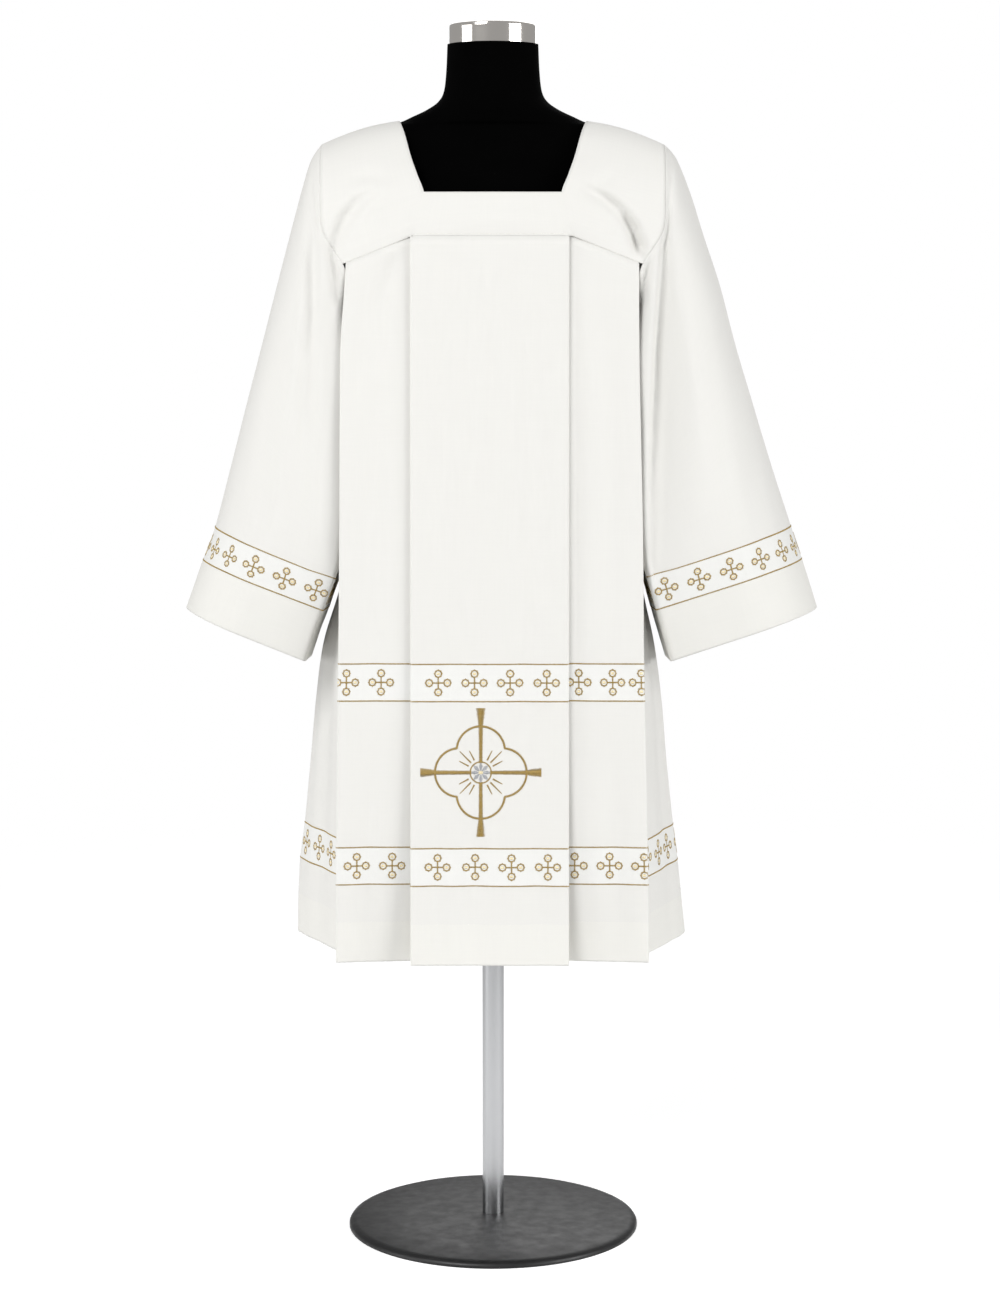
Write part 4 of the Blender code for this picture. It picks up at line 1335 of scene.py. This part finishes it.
@dataclass(frozen=True)
class StitchTree:
    """Geometry Nodes that lay a stitch at every point of a mesh.

    Attributes:
        wobble: how much the stitches differ in size.
        seed: seed of that difference.
    """

    wobble: float = 0.08
    seed: int = 7

    def build(self, thread: bpy.types.Material) -> bpy.types.NodeTree:
        """Builds the tree, whose points carry the attributes across, out and size."""
        tree = bpy.data.node_groups.new("lay_stitches", "GeometryNodeTree")
        for name, way, kind in (("Points", "INPUT", "Geometry"), ("Wobble", "INPUT", "Float"),
                                ("Seed", "INPUT", "Int"), ("Stitches", "OUTPUT", "Geometry")):
            tree.interface.new_socket(name, in_out=way, socket_type=f"NodeSocket{kind}")
        points = add_node(tree, "NodeGroupInput")
        given = points.node.outputs
        across, out, size = (add_node(tree, "GeometryNodeInputNamedAttribute", {"Name": name},
                                      data_type="FLOAT_VECTOR")
                             for name in ("across", "out", "size"))
        lowest, highest = (add_node(tree, "ShaderNodeMath", {0: 1.0, 1: given["Wobble"]},
                                    operation=operation) for operation in ("SUBTRACT", "ADD"))
        vary = add_node(tree, "FunctionNodeRandomValue",
                        {0: lowest, 1: highest, "Seed": given["Seed"]}, data_type="FLOAT_VECTOR")
        varied = add_node(tree, "ShaderNodeVectorMath", {0: size, 1: vary}, operation="MULTIPLY")
        turn = add_node(tree, "FunctionNodeAxesToRotation",
                        {"Primary Axis": out, "Secondary Axis": across}, primary_axis="Z",
                        secondary_axis="X")
        stitch = add_node(tree, "GeometryNodeMeshIcoSphere", {"Radius": 0.5, "Subdivisions": 1})
        laid = add_node(tree, "GeometryNodeInstanceOnPoints",
                        {"Points": points, "Instance": stitch, "Rotation": turn, "Scale": varied})
        whole = add_node(tree, "GeometryNodeRealizeInstances", {0: laid})
        smooth = add_node(tree, "GeometryNodeSetShadeSmooth", {0: whole})
        dressed = add_node(tree, "GeometryNodeSetMaterial", {0: smooth, "Material": thread})
        add_node(tree, "NodeGroupOutput", {0: dressed})
        return tree

    def grow(self, name: str, columns: list[np.ndarray],
             thread: bpy.types.Material) -> bpy.types.Object:
        """Makes a plain mesh of stitches from their places.

        Args:
            name: name of the piece.
            columns: middles, directions, normals and sizes, one row for each stitch.
            thread: material of the stitches.

        Returns:
            The piece.
        """
        seeds = bpy.data.meshes.new(f"{name}_points")
        seeds.from_pydata(columns[0].tolist(), [], [])
        for attribute, values in zip(("across", "out", "size"), columns[1:]):
            stored = seeds.attributes.new(attribute, "FLOAT_VECTOR", "POINT")
            stored.data.foreach_set("vector", values.astype(np.float32).ravel())
        carrier = bpy.data.objects.new(f"{name}_points", seeds)
        bpy.context.scene.collection.objects.link(carrier)
        grown = carrier.modifiers.new("Stitches", "NODES")
        grown.node_group = self.build(thread)
        values_of = {"Wobble": self.wobble, "Seed": self.seed}
        for socket in grown.node_group.interface.items_tree:
            if socket.name in values_of:
                grown[socket.identifier] = values_of[socket.name]
        evaluated = carrier.evaluated_get(bpy.context.evaluated_depsgraph_get())
        mesh = bpy.data.meshes.new_from_object(evaluated)
        bpy.data.objects.remove(carrier)
        bpy.data.meshes.remove(seeds)
        mesh.name = name
        return finished(name, mesh, thread)


@dataclass(frozen=True)
class KnobbedCross:
    """Small cross of thin bars with a ringed, scalloped knob at each end.

    Attributes:
        arm: middle of the cross to the middle of a knob.
        ring: radius of a knob's ring.
        ring_width: width of that ring.
        bar: width of a bar.
        bumps: scallops round a knob.
        bump_out: their distance from the middle of the knob, as a share of the ring's radius.
        bump_size: length of a scallop's stitch and width of its thread.
        centre_size: width and height of the stitches in the middle of a knob.
    """

    arm: float = 0.0113
    ring: float = 0.0042
    ring_width: float = 0.0018
    bar: float = 0.0019
    bumps: int = 8
    bump_out: float = 1.18
    bump_size: tuple[float, float] = (0.0012, 0.0010)
    centre_size: tuple[float, float] = (0.0032, 0.0034)

    def draw(self) -> Drawing:
        """Draws the cross round the middle of the flat."""
        gold = Needle(Thread.GOLD, pitch=0.00085, width=0.0009)
        cream = Needle(Thread.CREAM, pitch=0.0009, width=0.0011)
        inner = self.arm - self.ring
        drawn = [(gold.thread, gold.satin(path, self.bar))
                 for path in ([(-inner, 0), (inner, 0)], [(0, -inner), (0, inner)])]
        angles = np.linspace(0, FULL_TURN, self.bumps, endpoint=False)
        ways = np.stack([np.cos(angles), np.sin(angles)], axis=1)
        half_bump, half_centre = self.bump_size[0] / 2, self.centre_size[0] / 2
        for way_x, way_y in ((1, 0), (0, 1), (-1, 0), (0, -1)):
            x, y = way_x * self.arm, way_y * self.arm
            drawn.append((gold.thread, gold.satin(ring_path(x, y, self.ring), self.ring_width)))
            rim = ways * self.ring * self.bump_out + (x, y)
            drawn.append((gold.thread, Stitches(rim - ways * half_bump, rim + ways * half_bump,
                                                self.bump_size[1])))
            drawn.append((cream.thread, cream.satin([(x - half_centre, y), (x + half_centre, y)],
                                                    self.centre_size[1])))
        return drawn


@dataclass(frozen=True)
class Band:
    """Embroidered band: two lines with a row of crosses between them.

    Attributes:
        lower: height of its lower line up the cloth.
        upper: height of its upper line.
        line_width: width of a line.
        line_step: distance between the points that guide a line.
        spacing: distance from one cross to the next.
        cross: the cross that it repeats.
    """

    lower: float
    upper: float
    line_width: float = 0.0015
    line_step: float = 0.004
    spacing: float = 0.0445
    cross: KnobbedCross = KnobbedCross()

    def lay(self, work: Embroidery, start: float, end: float, crosses: Iterable[float]) -> None:
        """Lays the band on a sheet.

        Args:
            work: embroidery of the sheet.
            start: distance across at which the lines start.
            end: where they end.
            crosses: distances across at which the crosses stand.
        """
        line = Needle(Thread.GOLD, pitch=0.00105, width=0.0011)
        for height in (self.lower, self.upper):
            path = [(across, height) for across in (*np.arange(start, end, self.line_step), end)]
            work.add(line.thread, line.satin(path, self.line_width))
        for across in crosses:
            for thread, stitches in self.cross.draw():
                work.add(thread, stitches.moved(across, (self.lower + self.upper) / 2))


@dataclass(frozen=True)
class Emblem:
    """Plain flared cross in a four-lobed frame, with a rosette at the crossing and short rays.

    Attributes:
        lobe: radius of a lobe of the frame.
        lobe_out: middle of the emblem to the middle of a lobe.
        frame_width: width of the frame's line.
        upright: half height of the cross.
        beam: half width of the cross.
        widths: widths of an arm at the crossing, where its flare starts and at its end.
        flare_from: share of an arm at which it starts to flare.
        rays: angle of each ray from the diagonal, and its length.
        ray_from: middle of the emblem to the start of a ray.
        ray_widths: widths of a ray at its start and its end.
        rosette: radius of the rosette.
        petals: petals of the rosette.
        petal_from: middle of the emblem to the start of a petal.
        petal_widths: widths of a petal at its start, its middle and its end.
        rim_width: width of the ring round the rosette.
        centre_size: width and height of the stitches in the middle.
    """

    lobe: float = 0.0300
    lobe_out: float = 0.0270
    frame_width: float = 0.0030
    upright: float = 0.0790
    beam: float = 0.0750
    widths: tuple[float, float, float] = (0.0050, 0.00625, 0.0135)
    flare_from: float = 0.72
    rays: tuple[tuple[float, float], ...] = ((-0.30, 0.0125), (0.0, 0.0190), (0.30, 0.0125))
    ray_from: float = 0.0175
    ray_widths: tuple[float, float] = (0.0022, 0.0008)
    rosette: float = 0.0120
    petals: int = 8
    petal_from: float = 0.003
    petal_widths: tuple[float, float, float] = (0.0016, 0.0052, 0.0014)
    rim_width: float = 0.0016
    centre_size: tuple[float, float] = (0.0044, 0.0044)

    def draw(self) -> Drawing:
        """Draws the emblem round the middle of the flat."""
        gold = Needle(Thread.GOLD, pitch=0.00085, width=0.0010)
        silver = Needle(Thread.SILVER, pitch=0.0009, width=0.0011)
        cream = Needle(Thread.CREAM, pitch=0.0009, width=0.0011)
        drawn: Drawing = []

        def draw_line(needle: Needle, turn: float, start: float, end: float,
                      *widths: float) -> None:
            """Draws a line outward from the middle at an angle."""
            stitches = needle.satin([(start, 0), (end, 0)], *widths)
            drawn.append((needle.thread, stitches.moved(0, 0, turn)))

        # Neighbouring lobes meet on the diagonals, where a lobe's circle crosses them
        meet = (self.lobe_out + math.sqrt(2 * self.lobe ** 2 - self.lobe_out ** 2)) / 2
        half_turn = math.atan2(meet, meet - self.lobe_out)
        for quarter in range(4):
            turn = quarter * math.pi / 2
            lobe = gold.satin(ring_path(self.lobe_out, 0, self.lobe, -half_turn, half_turn, 40),
                              self.frame_width)
            drawn.append((gold.thread, lobe.moved(0, 0, turn)))
            reach = self.upright if quarter % 2 else self.beam
            flare = reach * self.flare_from
            draw_line(gold, turn, self.rosette, flare, *self.widths[:2])
            draw_line(gold, turn, flare, reach, *self.widths[1:])
            for offset, length in self.rays:
                draw_line(gold, turn + math.pi / 4 + offset, self.ray_from,
                          self.ray_from + length, *self.ray_widths)
        for petal in range(self.petals):
            turn = petal * FULL_TURN / self.petals
            widest = self.rosette / 2 + 0.002
            draw_line(silver, turn, self.petal_from, widest, *self.petal_widths[:2])
            draw_line(silver, turn, widest, self.rosette, *self.petal_widths[1:])
        rim = ring_path(0, 0, self.rosette + self.rim_width * 0.75)
        drawn.append((gold.thread, gold.satin(rim, self.rim_width)))
        half = self.centre_size[0] / 2
        draw_line(cream, 0.0, -half, half, self.centre_size[1])
        return drawn


# ---------------------------------------------------------------- garment

@dataclass
class Surplice:
    """The garment: its sheets, their embroidery and sewing.

    Attributes:
        emblem_x: place of the emblem on the front.
        emblem_height: height of its middle above the floor.
        upper_crosses: places of the crosses of the upper band, by x, panel by panel.
        lower_crosses: places of those of the lower band.
        gore_crosses: place of one cross of each gore, by y.
        gore_margin: least distance from a gore's edge to the middle of a cross.
        sleeve_crosses: place of one cross of each sleeve, by x.
        blind_stitch: pitch of the stitches of the hem, and the share of it that shows.
        topstitch: the same of the stitches above the seam of a yoke.
        topstitch_rise: height of those above the seam.
        sewing_width: width of the sewing thread.
        threads: materials of the threads.
    """

    emblem_x: float = -0.0148
    emblem_height: float = 0.632
    upper_crosses: tuple[tuple[float, ...], ...] = (
        (-0.1839, -0.1399), (-0.0674, -0.0225, 0.0215, 0.0668), (0.1087, 0.1525, 0.1895))
    lower_crosses: tuple[tuple[float, ...], ...] = (
        (-0.1690, -0.1250), (-0.0683, -0.0218, 0.0233, 0.0684), (0.1020, 0.1455, 0.1885))
    gore_crosses: tuple[float, float] = (-0.0200, -0.0508)
    gore_margin: float = 0.012
    sleeve_crosses: tuple[float, float] = (-0.2588, 0.2565)
    blind_stitch: tuple[float, float] = (0.0065, 0.16)
    topstitch: tuple[float, float] = (0.0032, 0.72)
    topstitch_rise: float = 0.0022
    sewing_width: float = 0.0005
    threads: dict[Thread, bpy.types.Material] = field(default_factory=dict)

    def build(self) -> None:
        """Builds and stitches every piece of the garment."""
        self.threads = {thread: finish.make() for thread, finish in THREADS.items()}
        plain, body, gored, sleeved = (
            ClothFinish(f"ivory_cloth_{name}", bands=bands, doubled=doubled).make()
            for name, bands, doubled in (
                ("plain", (), 0.0), ("body", (BANDS.lower, BANDS.upper), CUT.hem_turning),
                ("gore", (BANDS.lower,), CUT.hem_turning),
                ("sleeve", (BANDS.cuff,), BANDS.cuff[0])))
        for skirt in (Skirt(Side.FRONT, FRONT_CREASES), Skirt(Side.BACK, BACK_CREASES)):
            self._body(skirt, body)
        for yoke in (Yoke(Side.FRONT, FRONT_NECK_ROWS, 5), Yoke(Side.BACK, BACK_NECK_ROWS, 3)):
            self._yoke(yoke, plain)
        for gore in (Gore(Hand.LEFT, 0.008, 0.33, LEFT_GORE_CREASES),
                     Gore(Hand.RIGHT, 0.030, 0.40, RIGHT_GORE_CREASES)):
            self._gore(gore, gored)
        for sleeve in (
                Sleeve(Hand.LEFT, LEFT_SLEEVE_ROWS, (LEFT_FRONT_CREASES, LEFT_BACK_CREASES)),
                Sleeve(Hand.RIGHT, RIGHT_SLEEVE_ROWS, (RIGHT_FRONT_CREASES, RIGHT_BACK_CREASES))):
            self._sleeve(sleeve, sleeved)

    def _dress(self, work: Embroidery, cloth: bpy.types.Material, rests_on: list[str]) -> None:
        """Makes a sheet's cloth and stitches, attaches them to the root and hides the sheet's
        solid.

        Args:
            work: embroidery and sewing of the sheet.
            cloth: material of the cloth.
            rests_on: what holds the cloth; not used.
        """
        sheet = work.sheet
        piece = sheet.make(cloth)
        stitched = work.make(self.threads)
        for made in [piece, *stitched]:
            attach(made, ROOT)
        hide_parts(sheet.node)
        LOG.info("%s: %d points, %d stitch pieces", sheet.name, len(piece.data.vertices),
                 len(stitched))

    def _sew(self, work: Embroidery, height: float, pitch: float, share: float,
             steps: int = 200) -> None:
        """Sews a line of stitches with plain thread all along a sheet, at a height."""
        inset = 2 * CUT.end_gap
        path = [(across, height)
                for across in np.linspace(inset, work.sheet.girth - inset, steps)]
        needle = Needle(Thread.SEWING, pitch, self.sewing_width)
        work.add(needle.thread, needle.running(path, share))

    def _body(self, skirt: Skirt, cloth: bpy.types.Material) -> None:
        """Front or back of the skirt with its bands, and the emblem on the front."""
        sheet = skirt.sheet()
        work = Embroidery(sheet)
        panels = skirt.panel_columns()
        for heights, places in ((BANDS.lower, self.lower_crosses),
                                (BANDS.upper, self.upper_crosses)):
            crosses = [sheet.across_at(0, x, columns)
                       for columns, row in zip(panels, places) for x in row]
            Band(*heights).lay(work, CUT.end_gap, sheet.girth - CUT.end_gap, crosses)
        if skirt.side is Side.FRONT:
            middle = sheet.across_at(0, self.emblem_x, panels[1])
            for thread, stitches in Emblem().draw():
                work.add(thread, stitches.moved(middle, self.emblem_height - CUT.hem_height))
        self._sew(work, CUT.hem_turning, *self.blind_stitch)
        self._dress(work, cloth, [f"cloth_yoke_{skirt.side.name.lower()}"])

    def _gore(self, gore: Gore, cloth: bpy.types.Material) -> None:
        """One gore with the band that goes on round it."""
        sheet = gore.sheet()
        work = Embroidery(sheet)
        band = Band(*BANDS.lower)
        anchor = sheet.across_at(1, self.gore_crosses[gore.hand is Hand.RIGHT], slice(None))
        first = math.ceil((self.gore_margin - anchor) / band.spacing)
        last = math.floor((sheet.girth - self.gore_margin - anchor) / band.spacing)
        band.lay(work, CUT.end_gap, sheet.girth - CUT.end_gap,
                 [anchor + band.spacing * step for step in range(first, last + 1)])
        self._sew(work, CUT.hem_turning, *self.blind_stitch)
        self._dress(work, cloth, [f"cloth_sleeve_{gore.hand.name.lower()}"])

    def _yoke(self, yoke: Yoke, cloth: bpy.types.Material) -> None:
        """One yoke with the topstitching of its seam."""
        work = Embroidery(yoke.sheet())
        self._sew(work, self.topstitch_rise, *self.topstitch)
        self._dress(work, cloth, ["form_torso"])

    def _sleeve(self, sleeve: Sleeve, cloth: bpy.types.Material) -> None:
        """One sleeve with the band round its cuff."""
        sheet = sleeve.sheet()
        work = Embroidery(sheet)
        anchor = sheet.across_at(0, self.sleeve_crosses[sleeve.hand is Hand.RIGHT],
                                 slice(sleeve.half_ring + 1))
        band = Band(*BANDS.cuff, spacing=0.0418, cross=KnobbedCross(arm=0.0105, ring=0.0039))
        count = round(sheet.girth / band.spacing)
        band.lay(work, 0.0, sheet.girth,
                 [anchor + sheet.girth / count * step for step in range(count)])
        self._dress(work, cloth, ["cloth_yoke_front", "cloth_yoke_back"])


# ---------------------------------------------------------------- dress form and stand

@dataclass
class DressForm:
    """Limbless dress form with a polished neck cap, on a pole and a round foot.

    Attributes:
        pole_radius: radius of the pole.
        foot_rings: height and radius of each ring of the foot, a dish with a rounded rim.
        seam_gap: space between two solids that touch.
        steps: points round each ring.
        sharp_angle: angle of a corner that stays sharp, in degrees.
    """

    pole_radius: float = 0.014
    foot_rings: tuple[tuple[float, float], ...] = (
        (0.0140, 0.040), (0.0120, 0.100), (0.0090, 0.180), (0.0060, 0.188), (0.0030, 0.190),
        (0.0, 0.190))
    seam_gap: float = 0.0003
    steps: int = 128
    sharp_angle: float = 40.0

    def turned(self, name: str, rings: Sequence[FormRow],
               finish: bpy.types.Material) -> bpy.types.Object:
        """Closed solid through level rings, from the top ring down."""
        steps = self.steps
        angles = np.linspace(0, FULL_TURN, steps, endpoint=False)
        points = [(ring.half_width * math.cos(angle), ring.half_depth * math.sin(angle), ring.z)
                  for ring in rings for angle in angles]
        faces = [(upper + step, upper + steps + step, upper + steps + (step + 1) % steps,
                  upper + (step + 1) % steps)
                 for upper in range(0, (len(rings) - 1) * steps, steps) for step in range(steps)]
        faces.append(tuple(range(steps)))
        faces.append(tuple(range(len(points) - 1, len(points) - steps - 1, -1)))
        mesh = bpy.data.meshes.new(name)
        mesh.from_pydata(points, [], faces)
        piece = finished(name, mesh, finish)
        mesh.set_sharp_from_angle(angle=math.radians(self.sharp_angle))
        return piece

    def build(self) -> None:
        """Builds the form and its stand in place of their solids."""
        form, cap = ([row_at(rows, position) for position in positions(rows, steps)]
                     for rows, steps in ((FORM_ROWS, 6), (CAP_ROWS, 5)))
        foot = [FormRow(z, radius, radius) for z, radius in self.foot_rings]
        pole = [FormRow(z, self.pole_radius, self.pole_radius)
                for z in (FORM_ROWS[-1].z - self.seam_gap, foot[0].z + self.seam_gap)]
        for name, node, slot, rings, finish in (
                ("torso_cover", "form_torso", "black_velvet", form,
                 VelvetFinish("cotton_velvet", "#010101")),
                ("neck_cap_plate", "neck_cap", "chrome", cap,
                 MetalFinish("polished_chrome_plate", "#FFFAF4", 1.0, 0.10, 0.02)),
                ("pole_tube", "stand_pole", "chrome", pole,
                 MetalFinish("brushed_chrome_tube", "#C9CACC", 1.0, 0.22, 0.02)),
                ("foot_dish", "stand_foot", "black_foot_paint", foot,
                 MetalFinish("black_satin_enamel", "#121213", 0.0, 0.42, 1.0))):
            piece = self.turned(name, rings, finish.make())
            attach(piece, ROOT)
            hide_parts(node)
            LOG.info("%s: %d rings", name, len(rings))


# ---------------------------------------------------------------- studio

class Lamp(NamedTuple):
    """Square soft light; its aim is a height above the middle of the foot."""

    name: str
    place: tuple[float, float, float]
    aim: float
    size: float
    power: float


LAMPS = (
    Lamp("key_light", (-1.9, -2.9, 3.1), 1.05, 1.8, 106.0),
    Lamp("right_light", (3.4, -1.8, 1.8), 0.95, 2.2, 97.0),
    Lamp("left_light", (-3.5, -1.1, 0.9), 0.90, 2.0, 33.0),
    Lamp("back_light", (0.6, 3.8, 2.8), 0.95, 2.6, 34.0),
)


@dataclass
class Studio:
    """White floor, white surroundings, soft lights and the camera.

    Attributes:
        floor_radius: radius of the floor.
        floor_steps: points round its edge.
        camera_place: place of the camera.
        camera_tilt: its tilt from straight down, in degrees.
        lens: its focal length in millimetres.
        surround: strength of the surroundings as a light, and to the eye.
    """

    floor_radius: float = 4.0
    floor_steps: int = 96
    camera_place: tuple[float, float, float] = (0.009, -3.75, 1.21)
    camera_tilt: float = 83.27
    lens: float = 81.24
    surround: tuple[float, float] = (0.31, 1.0)

    def build(self) -> None:
        """Builds the studio."""
        bpy.context.scene.view_settings.view_transform = "Standard"
        self._world()
        self._floor()
        for lamp in LAMPS:
            self._light(lamp)
        eye = bpy.data.cameras.new("camera")
        eye.lens = self.lens
        camera = bpy.data.objects.new("camera", eye)
        camera.location = self.camera_place
        camera.rotation_euler = (math.radians(self.camera_tilt), 0.0, 0.0)
        bpy.context.scene.collection.objects.link(camera)
        bpy.context.scene.camera = camera

    @staticmethod
    def _light(lamp: Lamp) -> None:
        """Adds a light."""
        source = bpy.data.lights.new(lamp.name, "AREA")
        source.size = lamp.size
        source.energy = lamp.power
        light = bpy.data.objects.new(lamp.name, source)
        light.location = lamp.place
        way = type(light.location)((0.0, 0.0, lamp.aim)) - light.location
        light.rotation_euler = way.to_track_quat("-Z", "Y").to_euler()
        bpy.context.scene.collection.objects.link(light)

    def _world(self) -> None:
        """White surroundings, brighter to the eye than as a light."""
        world = bpy.data.worlds.new("studio")
        world.use_nodes = True
        tree = world.node_tree
        seen = add_node(tree, "ShaderNodeLightPath", output="Is Camera Ray")
        strength = add_node(tree, "ShaderNodeMapRange",
                            {0: seen, 1: 0.0, 2: 1.0, 3: self.surround[0], 4: self.surround[1]})
        connect(tree.nodes["Background"], {"Color": colour("#FFFFFF"), "Strength": strength})
        bpy.context.scene.world = world

    def _floor(self) -> None:
        """Builds the floor."""
        angles = np.linspace(0, FULL_TURN, self.floor_steps, endpoint=False)
        mesh = bpy.data.meshes.new("floor")
        mesh.from_pydata([(self.floor_radius * math.cos(angle),
                           self.floor_radius * math.sin(angle), 0.0) for angle in angles],
                         [], [tuple(range(self.floor_steps))])
        finish = FloorFinish("matt_white_floor", "#F4F4F4", (0.5, self.floor_radius * 0.8))
        finished("floor", mesh, finish.make())


def main() -> None:
    """Builds the garment, what it rests on and the studio."""
    logging.basicConfig(level=logging.INFO, format="%(name)s: %(message)s")
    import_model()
    DressForm().build()
    Surplice().build()
    Studio().build()


if __name__ == "__main__":
    main()
